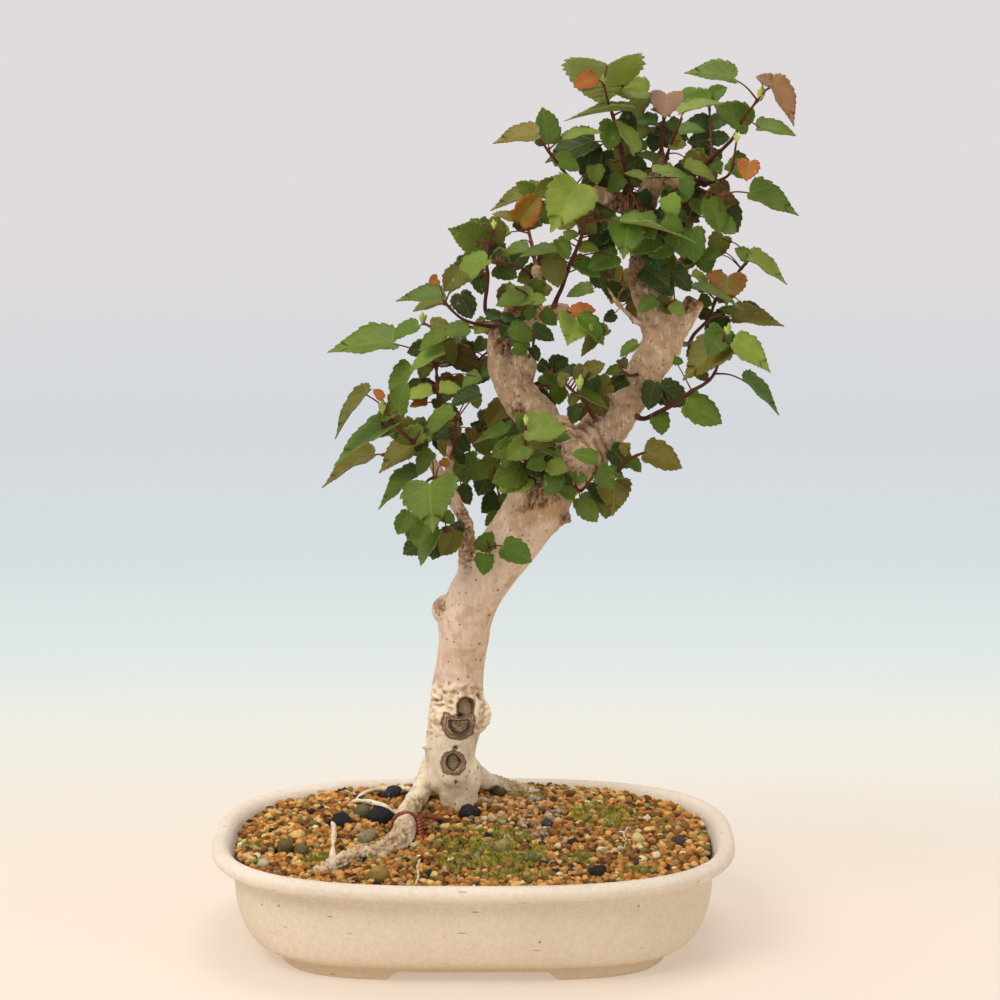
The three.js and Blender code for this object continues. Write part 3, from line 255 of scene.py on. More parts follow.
def ball(centre, sizes, across=16, down=10):
    """A closed ball with three half-sizes."""
    polar = (np.arange(1, down) * math.pi / down)[:, None]
    turn = np.arange(across) * 2 * math.pi / across
    rings = [np.sin(polar) * np.cos(turn), np.sin(polar) * np.sin(turn), np.cos(polar) + 0 * turn]
    points = np.r_[np.stack(rings, -1).reshape(-1, 3), [[0, 0, 1], [0, 0, -1]]]
    top = (down - 1) * across
    faces = [(a, d, c, b) for a, b, c, d in ring_faces(down - 1, across)]
    for j in range(across):
        k = (j + 1) % across
        faces += [(top, j, k), (top + 1, top - across + k, top - across + j)]
    return points * np.array(sizes) + centre, faces


# Materials
class Value:
    """A number that a node gives, joined to others by Python's own signs."""

    def __init__(self, shader, socket):
        self.shader, self.socket = shader, socket

    def __add__(self, other):
        return self.shader.maths("ADD", self, other)

    def __sub__(self, other):
        return self.shader.maths("SUBTRACT", self, other)

    def __rsub__(self, other):
        return self.shader.maths("SUBTRACT", other, self)

    def __mul__(self, other):
        return self.shader.maths("MULTIPLY", self, other)

    def __abs__(self):
        return self.shader.maths("ABSOLUTE", self)


class Shader:
    """Nodes of one material, with short ways to add and join them. Colours are sRGB 0-255."""

    def __init__(self, name):
        self.material = bpy.data.materials.new(name)
        self.material.use_nodes = True
        self.tree = self.material.node_tree
        self.tree.nodes.clear()
        self.out = self.tree.nodes.new("ShaderNodeOutputMaterial")

    def add(self, kind, inputs=(), **settings):
        made = self.tree.nodes.new("ShaderNode" + kind)
        for key, value in settings.items():
            setattr(made, key, value)
        for key, value in dict(inputs).items():
            value = value.socket if isinstance(value, Value) else value
            if isinstance(value, bpy.types.NodeSocket):
                self.tree.links.new(value, made.inputs[key])
            else:
                made.inputs[key].default_value = value
        return made

    def maths(self, operation, a, b=0.0, c=0.0):
        return Value(self, self.add("Math", {0: a, 1: b, 2: c}, operation=operation).outputs[0])

    def larger(self, a, b):
        return self.maths("MAXIMUM", a, b)

    def weighed(self, *pairs, start=0.0):
        """Sum of values times their weights."""
        total = start
        for value, weight in pairs:
            total = self.maths("MULTIPLY_ADD", value, weight, total)
        return total

    def step(self, value, low, high):
        """0 at low, 1 at high, smooth between."""
        inputs = {0: value, 1: low, 2: high, 3: 0.0, 4: 1.0}
        return Value(self, self.add("MapRange", inputs, interpolation_type="SMOOTHSTEP").outputs[0])

    def band(self, value, low, full, still, gone):
        """1 from full to still, 0 below low and above gone."""
        return self.step(value, low, full) * (1 - self.step(value, still, gone))

    def mix(self, factor, a, b, blend="MIX"):
        a, b = (colour4(*colour) if isinstance(colour, tuple) else colour for colour in (a, b))
        return self.add("Mix", {0: factor, 6: a, 7: b}, data_type="RGBA", blend_type=blend).outputs[2]

    def shaded(self, colour, value):
        """A colour times a grey value."""
        grey = self.add("CombineColor", {0: value, 1: value, 2: value}).outputs[0]
        return self.mix(1.0, colour, grey, "MULTIPLY")

    def place(self):
        return self.add("TexCoord").outputs["Object"]

    def scaled_place(self, scale, turn=(0.0, 0.0, 0.0)):
        return self.add("Mapping", {0: self.place(), 2: turn, 3: scale}).outputs[0]

    def attribute(self, name, output="Vector"):
        return self.add("Attribute", attribute_name=name, attribute_type="GEOMETRY").outputs[output]

    def split(self, vector):
        return [Value(self, output) for output in self.add("SeparateXYZ", {0: vector}).outputs]

    def noise(self, scale, detail=3.0, rough=0.55, place=None):
        inputs = {"Vector": place or self.place(), "Scale": scale, "Detail": detail, "Roughness": rough}
        return Value(self, self.add("TexNoise", inputs).outputs[0])

    def dots(self, scale, share, radius, place=None):
        """Round spots in some of the cells: 1 inside, 0 outside."""
        cells = self.add("TexVoronoi", {"Vector": place or self.place(), "Scale": scale})
        chosen = self.step(self.split(cells.outputs["Color"])[0], 1 - share, 1 - share + 0.02)
        return (1 - self.step(cells.outputs["Distance"], radius * 0.6, radius)) * chosen

    def bump(self, height, distance, strength=1.0):
        return self.add("Bump", {"Height": height, "Distance": distance, "Strength": strength}).outputs[0]

    def surface(self, colour, roughness, normal=None, metallic=0.0, shine=0.5):
        colour = colour4(*colour) if isinstance(colour, tuple) else colour
        inputs = {"Base Color": colour, "Roughness": roughness, "Metallic": metallic,
                  "Specular IOR Level": shine}
        if normal is not None:
            inputs["Normal"] = normal
        return self.add("BsdfPrincipled", inputs)

    def blended(self, factor, one, other):
        return self.add("MixShader", {0: factor, 1: one.outputs[0], 2: other.outputs[0]})

    def finish(self, shader):
        self.tree.links.new(shader.outputs[0], self.out.inputs[0])
        return self.material


def colour4(r, g, b):
    return (*linear(r, g, b), 1.0)


# The three cuts on the trunk: colour of the dead wood, of the bark ring round it, strength of the ring
WOUND_LOOKS = [((148, 120, 94), (206, 178, 148), 0.0), ((158, 142, 100), (178, 142, 112), 1.0),
               ((142, 130, 90), (176, 134, 102), 1.0)]


def bark_material():
    s = Shader("bark")
    tone, wounds, rings = s.attribute("tone", "Color"), s.attribute("leaf"), s.attribute("rings")
    old = s.step(s.split(s.place())[2], 0.215, 0.29)
    upright = s.scaled_place((1.4, 1.4, 0.5))
    broad, patches = s.noise(26, 3), s.noise(90, 4, 0.6)
    fine, grit = s.noise(420, 5, 0.7, upright), s.noise(900, 2, 0.6)
    colour = s.shaded(tone, s.weighed((broad, 0.40), (patches, 0.60), (fine, 0.75), start=0.20))
    pale = s.step(s.noise(190, 5, 0.75, upright), 0.52, 0.60)
    colour = s.mix(pale * 0.42, colour, (236, 222, 204))
    blotch = s.step(s.noise(62, 4, 0.62), 0.52, 0.64)
    colour = s.mix(blotch * 0.40, colour, (168, 128, 96))
    dots = s.larger(s.dots(300, 0.36, 0.20), s.dots(170, 0.34, 0.17))
    colour = s.mix(dots * 0.8, colour, (128, 82, 52))
    cracks = 1 - s.step(abs(s.noise(75, 5, 0.7) - 0.5), 0.0, 0.022)
    pits = s.step(s.noise(210, 3, 0.6), 0.6, 0.68)
    worn = s.larger(cracks * 0.3, pits) * s.weighed((old, 0.34), start=0.06)
    spots = s.dots(130, 0.5, 0.15) * old
    colour = s.mix(spots * 0.75, colour, (120, 82, 52))
    colour = s.mix(worn, colour, (96, 68, 44))
    bumps = s.weighed((fine, 1.0), (patches, 0.8), (dots, -0.5), (spots, -0.8), (worn, -1.6), (grit, 0.3))
    wobble = s.weighed((s.noise(240, 3, 0.6), 0.34), start=-0.17)
    for index, (core, rim, strength) in enumerate(WOUND_LOOKS):
        ring, inner = s.split(rings)[index] + wobble, s.split(wounds)[index] + wobble
        ridge = s.maths("SINE", ring * 34.0)
        zone = (1 - s.step(ring, 0.94, 1.04)) * strength
        ring_tone = s.mix(s.weighed((ridge, 0.32), start=0.36), rim, (92, 66, 50))
        colour = s.mix(zone * 0.85, colour, ring_tone)
        edge = s.band(ring, 0.86, 0.97, 0.99, 1.08)
        colour = s.mix(edge * (0.7 * strength), colour, (84, 58, 42))
        dead = 1 - s.step(inner, 0.84, 0.96)
        core_tone = s.shaded(core, s.weighed((s.noise(420, 4, 0.7), 1.5), start=0.25))
        colour = s.mix(dead, colour, core_tone)
        rim_line = s.band(inner, 0.68, 0.88, 1.0, 1.2)
        colour = s.mix(rim_line * 0.85, colour, (58, 40, 30))
        bumps = s.weighed((zone * ridge, 0.8), (dead, -1.0), (rim_line, -1.2), start=bumps)
    return s.finish(s.surface(colour, 0.74, s.bump(bumps, 0.0007, 0.8), shine=0.2))


def leaf_material():
    s = Shader("leaf")
    tone = s.attribute("tone", "Color")
    u, v, under = s.split(s.attribute("leaf"))
    bend = s.weighed((s.noise(45, 2), 0.10), start=-0.05)
    across = abs(v)
    rib = 1 - s.step(across, 0.012, 0.045)
    # The first pair of veins leaves the notch, the next ones leave the rib
    basal = abs(s.weighed((u, 1.0), (across, -0.42), (bend, 1.0)))
    lobe = abs(s.weighed((u, 1.0), (across, 0.10), (bend, 1.0)))
    pair = 1 - s.step(s.maths("MINIMUM", basal, lobe), 0.008, 0.030)
    slant = s.weighed((u, 4.6), (across, -2.1), (bend, 4.6), start=-0.5)
    wave = abs(s.maths("FRACT", slant) - 0.5)
    side = (1 - s.step(wave, 0.02, 0.075)) * s.step(slant, 0.2, 0.4)
    side = s.larger(side, pair) * (1 - s.step(across, 0.6, 0.98))
    vein = s.larger(rib, side * 0.7)
    net = s.add("TexVoronoi", {"Vector": s.place(), "Scale": 420.0}, feature="DISTANCE_TO_EDGE")
    mesh = 1 - s.step(net.outputs["Distance"], 0.0, 0.12)
    colour = s.shaded(tone, s.weighed((s.noise(150, 3, 0.6), 0.62), (s.noise(36, 2), 0.36), start=0.5))
    pale = s.mix(0.55, colour, s.mix(under, (168, 178, 88), (176, 160, 98)))
    line = s.larger(vein * s.weighed((under, 0.35), start=0.5), mesh * 0.10)
    margin = s.step(across, 0.9, 1.0) * 0.45
    colour = s.mix(s.larger(line, margin), colour, pale)
    flecks = s.step(s.noise(260, 2), 0.70, 0.75) * 0.5
    colour = s.mix(flecks, colour, (176, 178, 120))
    normal = s.bump(s.weighed((vein, -1.0), (mesh, -0.2), (s.noise(110, 2), 0.8)), 0.0003, 0.35)
    through = s.add("BsdfTranslucent", {"Color": s.mix(0.45, colour, (150, 172, 44))})
    return s.finish(s.blended(0.28, s.surface(colour, 0.45, normal, shine=0.24), through))


def twig_material():
    s = Shader("twig")
    colour = s.shaded(s.attribute("tone", "Color"), s.weighed((s.noise(300, 3), 0.5), start=0.75))
    return s.finish(s.surface(colour, 0.55, s.bump(s.noise(900, 2), 0.0002), shine=0.2))


def grain_material():
    s = Shader("grain")
    fine, broad = s.noise(560, 5, 0.8), s.noise(240, 2)
    colour = s.shaded(s.attribute("tone", "Color"), s.weighed((fine, 1.9), (broad, 0.7), start=-0.22))
    specks = s.larger(s.dots(700, 0.10, 0.3), s.step(fine, 0.70, 0.76) * 0.6)
    colour = s.mix(specks * 0.55, colour, (214, 198, 172))
    return s.finish(s.surface(colour, 0.9, s.bump(s.weighed((fine, 1.4), (broad, 1.0)), 0.0014), shine=0.15))


def pot_material():
    s = Shader("pot_clay")
    z = s.split(s.place())[2]
    broad, fine, clay = s.noise(14, 3), s.noise(1100, 3, 0.7), s.noise(300, 4, 0.7)
    colour = s.mix(s.step(z, 0.046, 0.056), (222, 204, 180), (230, 212, 192))
    colour = s.mix(s.step(broad, 0.4, 0.7) * 0.45, colour, (206, 190, 164))
    foot = 1 - s.step(s.weighed((broad, 0.006), (z, 1.0)), 0.009, 0.018)
    colour = s.mix(foot * 0.5, colour, (190, 164, 116))
    colour = s.shaded(colour, s.weighed((fine, 0.42), (clay, 0.34), start=0.62))
    for dots, strength, tone in [(s.dots(330, 0.30, 0.15), 0.45, (134, 116, 98)),
                                 (s.dots(250, 0.18, 0.16), 0.5, (240, 230, 214)),
                                 (s.dots(90, 0.20, 0.08), 0.75, (112, 88, 64))]:
        colour = s.mix(dots * strength, colour, tone)
    # Short scratches, most of them just under the rim
    near_rim = s.band(z, 0.036, 0.046, 0.052, 0.055)
    scratches = s.dots(130, 0.6, 0.13, s.scaled_place((0.28, 1.0, 1.6), (0.0, 0.7, 0.0)))
    scratches = scratches * s.weighed((near_rim, 0.5), start=0.45)
    colour = s.mix(scratches, colour, (84, 66, 50))
    height = s.weighed((fine, 0.6), (clay, 0.5), (scratches, -0.6))
    return s.finish(s.surface(colour, 0.66, s.bump(height, 0.0003, 0.6)))


def plain_material(name, colour, roughness, metallic=0.0):
    s = Shader(name)
    return s.finish(s.surface(colour, roughness, metallic=metallic))


BARK, LEAF, TWIG = bark_material(), leaf_material(), twig_material()
GRAIN, POT = grain_material(), pot_material()
WIRE = plain_material("copper_wire", (150, 78, 62), 0.34, 0.8)
SCREEN = plain_material("black_mesh", (32, 32, 32), 0.6)
for side in ("left", "right"):
    screen = NODES["drain_screen_" + side]
    screen.data.materials.clear()
    screen.data.materials.append(SCREEN)


# Pot: half-width, half-depth, height and squareness, up the outside, over the rim and down inside
FOOT_HEIGHT = 5.0
FOOT_GAPS = (47, 32)
DRAIN_X, DRAIN_RADIUS = 58, 9
POT_UNDER = [(0, 0, 5, 4), (60, 42, 5, 4), (98, 68, 5, 4)]
POT_FOOT = [(98.3, 68.3, 4.4, 4), (98.5, 68.5, 0.5, 4), (99.2, 69.2, 0, 4), (110, 79, 0, 4),
            (111, 80, 0.8, 4), (112.3, 80.8, 7.4, 4), (113.4, 81.4, 8.2, 4)]
POT_WALL = [(113.4, 81.4, 8.2, 4), (121, 86, 9.3, 3.8), (129, 90.5, 14, 3.4), (134.5, 93.5, 23, 3.1),
            (137.5, 95.5, 36, 2.9), (137.6, 96, 46, 2.8), (138.6, 97, 50.5, 2.8), (143, 100.6, 52.4, 2.8)]
POT_BEAD = [(143, 100.6, 52.4, 2.8), (147.6, 104.6, 53.6, 2.8), (150.2, 106.9, 56.3, 2.8),
            (150.2, 107, 59.4, 2.8), (148.2, 105, 61.8, 2.8), (145.5, 102.4, 62.4, 2.8),
            (142.6, 99.5, 61.4, 2.8), (140.6, 97.6, 58.8, 2.8), (139, 96, 55, 2.8)]
POT_INSIDE = [(130, 88.5, 44, 2.9), (125, 83.5, 24, 3.1), (116, 75, 14, 3.4), (60, 40, 14, 3.4),
              (0, 0, 14, 3.4)]
POT_SIDES = 256


def squarish(a, b, n, turn):
    """Points of a rounded rectangle; the larger n, the squarer."""
    cos, sin = np.cos(turn), np.sin(turn)
    return np.sign(cos) * np.abs(cos) ** (2 / n) * a, np.sign(sin) * np.abs(sin) ** (2 / n) * b


def even_turns(sides):
    """Angles that stand evenly round the rounded rectangle."""
    fine = np.linspace(0, 2 * math.pi, 4001)
    x, y = squarish(130, 92, 3.2, fine)
    reach = np.r_[0, np.cumsum(np.hypot(np.diff(x), np.diff(y)))]
    return np.interp(np.arange(sides) * reach[-1] / sides, reach, fine)


def refined(rows, spacing):
    """Rows of a wall set closer along a smooth curve, with their squareness carried along."""
    path, squareness = smooth_path([row[:3] for row in rows], [row[3] for row in rows], spacing)
    return [(*p, n) for p, n in zip(path.tolist(), squareness.tolist())]


def ring_stack(rows, turns):
    """A closed stack of rounded-rectangle rings; the first and last rows are its middles."""
    points = [[0, 0, rows[0][2]]]
    for a, b, z, n in rows[1:-1]:
        x, y = squarish(a, b, n, turns)
        points.extend(np.c_[x, y, np.full(len(turns), z)].tolist())
    points.append([0, 0, rows[-1][2]])
    sides, last = len(turns), len(points) - 1 - len(turns)
    faces = [(0, 1 + (j + 1) % sides, 1 + j) for j in range(sides)]
    faces += ring_faces(len(rows) - 2, sides, 1)
    faces += [(last + j, last + (j + 1) % sides, last + sides) for j in range(sides)]
    return np.array(points), faces


def make_pot():
    rows = POT_UNDER + POT_FOOT + refined(POT_WALL, 2.5)[1:] + refined(POT_BEAD, 1.2)[1:] + POT_INSIDE
    points, faces = ring_stack(rows, even_turns(POT_SIDES))
    gap = np.maximum(*(ramp(np.abs(points[:, axis]), half, -4) for axis, half in enumerate(FOOT_GAPS)))
    low = points[:, 2] < FOOT_HEIGHT
    points[low, 2] = np.maximum(points[low, 2], gap[low] * FOOT_HEIGHT)
    build = Build()
    build.add(points, faces, WHITE)
    pot = make_object("stoneware_pot", build, [POT], sharp=38)
    for x in (-DRAIN_X, DRAIN_X):
        drill = Build()
        drill.add(*tube([(x, 0, -2), (x, 0, 20)], [DRAIN_RADIUS] * 2, 40), WHITE)
        cutter = make_object("drain_cutter", drill, [POT], smooth=False)
        cut = pot.modifiers.new("drain", "BOOLEAN")
        cut.operation = "DIFFERENCE"
        cut.solver = "EXACT"
        cut.object = cutter
        shaped = shaped_mesh(pot)
        pot.modifiers.clear()
        pot.data = shaped
        bpy.data.objects.remove(cutter)
    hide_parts("pot")


make_pot()

# Trunk, roots and woody branches. Rows are x and z in the elevation, depth, radius.
TRUNK = [
    (-9, 46, 44, 9), (-9, 71, 43, 10.6), (-9.5, 80, 42, 12), (-12, 91, 41.5, 13.8), (-14, 100, 41, 15),
    (-13.5, 109, 40, 15.4), (-11.5, 119, 39, 16), (-10, 129, 38, 16), (-9.5, 141, 37, 15), (-8, 155, 35, 14),
    (-6, 170, 34, 14.6), (-4, 185, 32, 15.4), (1.5, 198, 30, 15.4), (9.5, 212, 28, 15.8), (21, 227, 27, 16.2),
    (32, 243, 26, 17), (42, 259, 25, 16.5), (50, 272, 25, 15),
]
RIGHT_TRUNK = [
    (38, 254, 26, 13), (54, 272, 25, 15.5), (70, 288, 25, 14), (82, 305, 26, 12.5), (92, 318, 27, 11.2),
    (101, 332, 28, 10.8), (108, 345, 29, 11.5), (104, 360, 29, 11), (98, 383, 28, 10.5), (98, 400, 27, 9),
    (95, 415, 26, 7.2), (98, 427, 25, 6.4), (104, 436, 25, 6), (108, 446, 25, 4),
]
LEFT_BRANCH = [
    (46, 268, 26, 13), (45, 287, 28, 12.5), (37, 300, 30, 12), (29, 310, 32, 11.5), (22, 321, 34, 10.5),
    (16, 332, 36, 8), (14.5, 345, 37, 6), (16, 361, 38, 5),
]
SMALL_LIMBS = [
    [(96, 415, 26, 6), (88, 421, 23, 5.6), (78, 425, 20, 5), (67, 429, 18, 4)],
    [(103, 434, 25, 4), (114, 433, 24, 3.4), (127, 432, 22, 2.8)],
    [(110, 345, 29, 8.5), (119, 356, 28, 6.2), (126, 368, 28, 5.4)],
    [(15, 343, 37, 5), (23, 347, 36, 5), (34, 354, 34, 4.8), (45, 361, 32, 4.6), (54, 361, 31, 5)],
    [(24, 316, 33, 8), (29, 327, 33, 7.4), (29.5, 337, 33, 6.8)],
    [(35, 353, 34, 3.6), (36, 368, 36, 3), (36, 387, 38, 2.6)],
    [(-2, 190, 31, 9), (-4, 208, 28, 5.6), (-4, 225, 24, 4.6), (-5, 240, 20, 4.2), (-11, 252, 15, 4),
     (-17, 264, 11, 3.6), (-24, 275, 8, 3.2), (-29, 282, 6, 2.8)],
    [(-10, 250, 16, 3.4), (-14, 262, 20, 2.8), (-13, 284, 28, 2.4)],
    [(52, 284, 22, 7), (51, 292, 20, 6.4), (51, 301, 19, 5.6)],
    [(40, 238, 25, 8), (48, 243, 24, 6), (55, 245, 24, 4.6)],
    [(103, 321, 19, 4.4), (97, 327, 10, 3), (90, 333, 4, 2.3)],
    [(98, 353, 24, 2.4), (90, 358, 17, 1.5), (82, 366, 12, 1.2), (76, 375, 8, 1)],
    [(-24, 106, 36, 3), (-31, 106, 34, 1.6)],
]
# Roots: x and z in the elevation, the height of the root's middle, radius
ROOTS = [
    [(-15, 107, 96, 9), (-22, 98, 87, 8), (-27, 88, 77, 6.8), (-31.7, 78, 70.5, 5.6), (-37, 70, 67.5, 5.2),
     (-40.6, 64.6, 65.5, 5.2), (-40, 58, 64, 6.2), (-43, 50.6, 62, 6.2), (-49.5, 45, 60, 5.4),
     (-57.8, 42, 59, 4.6), (-66.6, 41.4, 58.5, 4.4), (-76, 37, 57.5, 4.2), (-85, 32, 56.5, 3.8),
     (-91.5, 29, 54.5, 3.2), (-96, 26, 49, 2.6)],
    [(-6, 95, 85, 8.5), (3.5, 87.3, 75, 6.4), (9.3, 84.3, 70.6, 5), (17, 82, 67.6, 4.4),
     (25.2, 80.2, 65.5, 3.8), (32.8, 78.4, 63.6, 3.2), (41, 76, 59.5, 2.4)],
    [(-79, 63, 55, 1.3), (-71.6, 72, 63, 1.5), (-64, 73, 65, 1.5), (-55, 70.7, 65, 1.5), (-48, 67, 64.5, 1.5),
     (-39, 64, 65, 1.6)],
    [(-71, 70, 57, 1.2), (-65.7, 76.8, 63, 1.3), (-58, 80, 64.5, 1.3), (-46.3, 81, 66, 1.4),
     (-31, 79, 71, 1.6)],
    [(-83, 62, 56, 1.1), (-82.4, 54, 64, 1.3), (-83, 46, 63, 1.3), (-84, 34, 57.5, 1.5)],
]
# Swellings: x and z in the elevation, depth, half-sizes
SWELLINGS = [
    (-15, 188, 33, 9.5, 10, 9), (-13, 176.5, 33, 8, 9, 9), (-2, 126, 33, 12.5, 11, 12),
    (-15, 126, 30, 10, 8, 11),
    (-12, 91, 31, 9, 7, 9.5), (-20, 91, 38, 8, 8, 13), (-2.5, 88, 38, 7, 8, 13),
    (22, 362, 38, 5, 5, 5), (55, 288, 16, 5, 6, 12),
]
# Small hollows as seen in the upright plane y = 40: middle x, z, half-width, half-height, depth, colour
WOUND_PLANE = 40.0
HOLLOWS = [
    (-11.4, 99.8, 1.9, 1.5, 1.2, (70, 48, 34)),
    (-11.0, 78.5, 0.9, 1.4, 0.8, (88, 64, 46)),
    (-22.0, 129.0, 3.2, 0.9, 0.9, (140, 108, 80)),
    (-20.5, 126.0, 3.6, 0.8, 0.8, (150, 118, 88)),
    (-17.0, 133.8, 1.6, 1.0, 0.9, (140, 108, 80)),
    (-8.6, 119.5, 5.2, 1.3, 1.2, (84, 60, 44)),
    (-20.4, 180.5, 0.7, 0.8, 0.4, (110, 80, 56)),
    (53.5, 238.6, 2.6, 2.0, 0.6, (122, 84, 54)),
    (57.0, 235.0, 1.6, 1.4, 0.6, (104, 70, 46)),
    (-14.8, 139.0, 1.0, 0.7, 0.6, (110, 78, 52)),
    (2.5, 131.5, 1.2, 2.2, 0.8, (128, 94, 64)),
]
# Cracked bark as seen in the same plane: middle x, z, half-width, half-height, slant
CRAGS = [
    (42, 253, 17, 8, 0.35), (47, 268, 12, 12, 0.0), (-5, 228, 7, 22, 0.0),
    (53, 238, 4.5, 4, 0.0), (37, 272, 8, 9, 0.0), (18, 345, 9, 12, 0.0),
    (21, 362, 7, 5, 0.0), (100, 404, 9, 20, 0.0), (88, 421, 12, 7, 0.0), (-20, 186, 4, 5, 0.0),
    (27, 300, 7, 6, -0.6), (98, 396, 12, 30, 0.0), (124, 366, 5, 7, 0.0), (106, 440, 8, 7, 0.0),
    (-34, 60, 9, 9, 0.0), (-50, 45, 14, 9, 0.5), (-70, 33, 15, 9, 0.4), (-92, 24, 9, 8, 0.3),
    (26, 80, 16, 6, -0.2),
]
# Browner bark: middle x, z, half-width, half-height, slant, share
STAINS = [(41, 243, 17, 6, 0.35, 1.0), (-9, 153, 24, 5, 0.0, 0.42), (22, 330, 14, 14, 0.0, 0.3)]
# Old leaf scars round the limb above the fork: middle x, z, and the way the limb runs in radians
COLLAR = (68, 288, 0.82)
CREAM = linear(230, 212, 182)
PINK_BEIGE = linear(220, 190, 165)
TAN = linear(214, 180, 142)
CALLUS = linear(236, 212, 178)
OLD_BARK = linear(202, 168, 133)
# How much of red, green and blue the painted shade in a furrow takes away
FURROW_SHADE = [0.55, 0.62, 0.7]
# A reach that lies outside every wound
FAR = 9.0
# Cells of the wood's skin, of its quick form, and the depth behind which bark isn't seen
SKIN_CELL, QUICK_CELL, BACK_DEPTH = 0.95, 1.15, 42


def seen_from_front(points):
    """Where the eye sees the points in the upright plane of the wounds."""
    reach = (points[:, 1] - EYE[1]) / (WOUND_PLANE - EYE[1])
    return EYE[0] + (points[:, 0] - EYE[0]) / reach, EYE[2] + (points[:, 2] - EYE[2]) / reach


def noise_of(points, scale, seed):
    """Smooth noise from -1 to 1 at each point."""
    return np.array([noise.noise(Vector(p) * scale + Vector((seed, 2.7 * seed, 0))) for p in points.tolist()])


class Bark:
    """The wood's points, where the eye sees them in the wound plane, and the lift and tone of each."""

    def __init__(self, points, normals):
        self.points, self.normals, self.height = points, normals, points[:, 2]
        self.x, self.z = seen_from_front(points)
        self.facing = ramp(-normals[:, 1], 0.05, 0.35) * (points[:, 1] < BACK_DEPTH)
        self.broad, self.small = noise_of(points, 0.045, 1.0), noise_of(points, 0.17, 5.0)
        self.lift = 0.8 * self.broad + 0.35 * self.small
        self.tone = PINK_BEIGE * np.ones((len(points), 1))

    def oval(self, x, z, wide, high, slant=0.0):
        """How far each point is seen from an oval's middle: 1 on its edge."""
        return np.hypot((self.x - x) / wide, (self.z - z - slant * (self.x - x)) / high)

    def blend(self, colour, share):
        self.tone = self.tone * (1 - share[:, None]) + colour * share[:, None]

    def darken(self, share, depth):
        self.tone = self.tone * (1 - share[:, None] * depth)


def rough_wood():
    """Tubes and balls for the trunk, its limbs, its roots and its swellings."""
    rough = Build()
    for rows, sides in [(TRUNK, 28), (RIGHT_TRUNK, 24), (LEFT_BRANCH, 24)] + [(r, 16) for r in SMALL_LIMBS]:
        path, radii = smooth_path([spot(x, z, d) for x, z, d, _ in rows], [r[3] for r in rows], 2.5)
        rough.add(*tube(path, radii, sides), WHITE)
    for rows in ROOTS:
        path, radii = smooth_path([spot_at_height(x, z, h) for x, z, h, _ in rows], [r[3] for r in rows], 2)
        rough.add(*tube(path, radii + 0.15, 16), WHITE)
    for x, z, depth, *sizes in SWELLINGS:
        rough.add(*ball(spot(x, z, depth), sizes), WHITE)
    return rough


def remeshed(build, cell):
    """Points, normals and faces of one smoothed skin round all the tubes and balls."""
    mesh = bpy.data.meshes.new("rough_wood")
    mesh.from_pydata(np.concatenate(build.points).tolist(), [], build.faces)
    rough = new_object("rough_wood", mesh)
    blend = rough.modifiers.new("blend", "REMESH")
    blend.mode = "VOXEL"
    blend.voxel_size = cell
    soft = rough.modifiers.new("soft", "SMOOTH")
    soft.factor = 0.5
    soft.iterations = 6
    shaped = shaped_mesh(rough)
    points = np.array([v.co[:] for v in shaped.vertices])
    normals = np.array([v.normal[:] for v in shaped.vertices])
    faces = [tuple(p.vertices) for p in shaped.polygons]
    bpy.data.objects.remove(rough)
    return points, normals, faces


def age_bark(bark):
    """A cream foot, a tan right side, and wrinkled bark high up and on the left root, with painted shade in
    its furrows; high up the bark is darker from its older tone and painted shade under the crown.
    """
    height = bark.height
    old = ramp(height, 222, 45)
    root = ramp(height, 84, -12) * ramp(bark.points[:, 0], -18, -8)
    wrinkle = 1 - 3.2 * np.abs(noise_of(bark.points * [0.7, 0.7, 1.7], 0.11, 3.0))
    bark.lift += (0.4 * old + 0.5 * root) * wrinkle
    bark.blend(CREAM, ramp(height, 128, -14))
    bark.blend(TAN, np.clip(bark.normals[:, 0] * 1.2 - 0.1, 0, 1) * ramp(height, 120, 40) * 0.75)
    bark.blend(OLD_BARK, 0.6 * old)
    # Darker high up: from 240 mm partly the older bark's browner tone and partly painted shade under the
    # crown, from 360 mm painted shade under the crown.
    bark.darken(ramp(height, 240, 60), [0.22, 0.27, 0.35])
    bark.darken(ramp(height, 360, 40), [0.26, 0.34, 0.42])
    # Painted shade in the furrows of the wrinkles.
    bark.darken(ramp(wrinkle, 0.3, -1) * (0.35 * old + 0.75 * root), FURROW_SHADE)
    for *place, share in STAINS:
        reach = bark.oval(*place) + 0.35 * bark.broad + 0.2 * bark.small
        bark.darken(share * ramp(reach, 1.6, -1), [0.2, 0.32, 0.48])


def crack_bark(bark):
    """Raised flakes with clefts between them, darkened with painted shade."""
    craggy = np.zeros(len(bark.points))
    for place in CRAGS:
        craggy = np.maximum(craggy, ramp(bark.oval(*place) + 0.4 * bark.small, 1.15, -0.4))
    craggy *= np.maximum(bark.facing, ramp(bark.height, 88, -4))
    coarse, fine = np.abs(noise_of(bark.points, 0.22, 11.0)), np.abs(noise_of(bark.points, 0.42, 13.0))
    flakes = np.minimum(coarse, 0.7 * fine + 0.02)
    bark.lift += craggy * (2.8 * np.clip(flakes / 0.16, 0, 1) - 1.6)
    bark.darken(craggy, [0.22, 0.34, 0.46])
    # Painted shade in the clefts between the flakes.
    bark.darken(craggy * np.clip(1.2 - flakes / 0.06, 0, 1), 0.72)


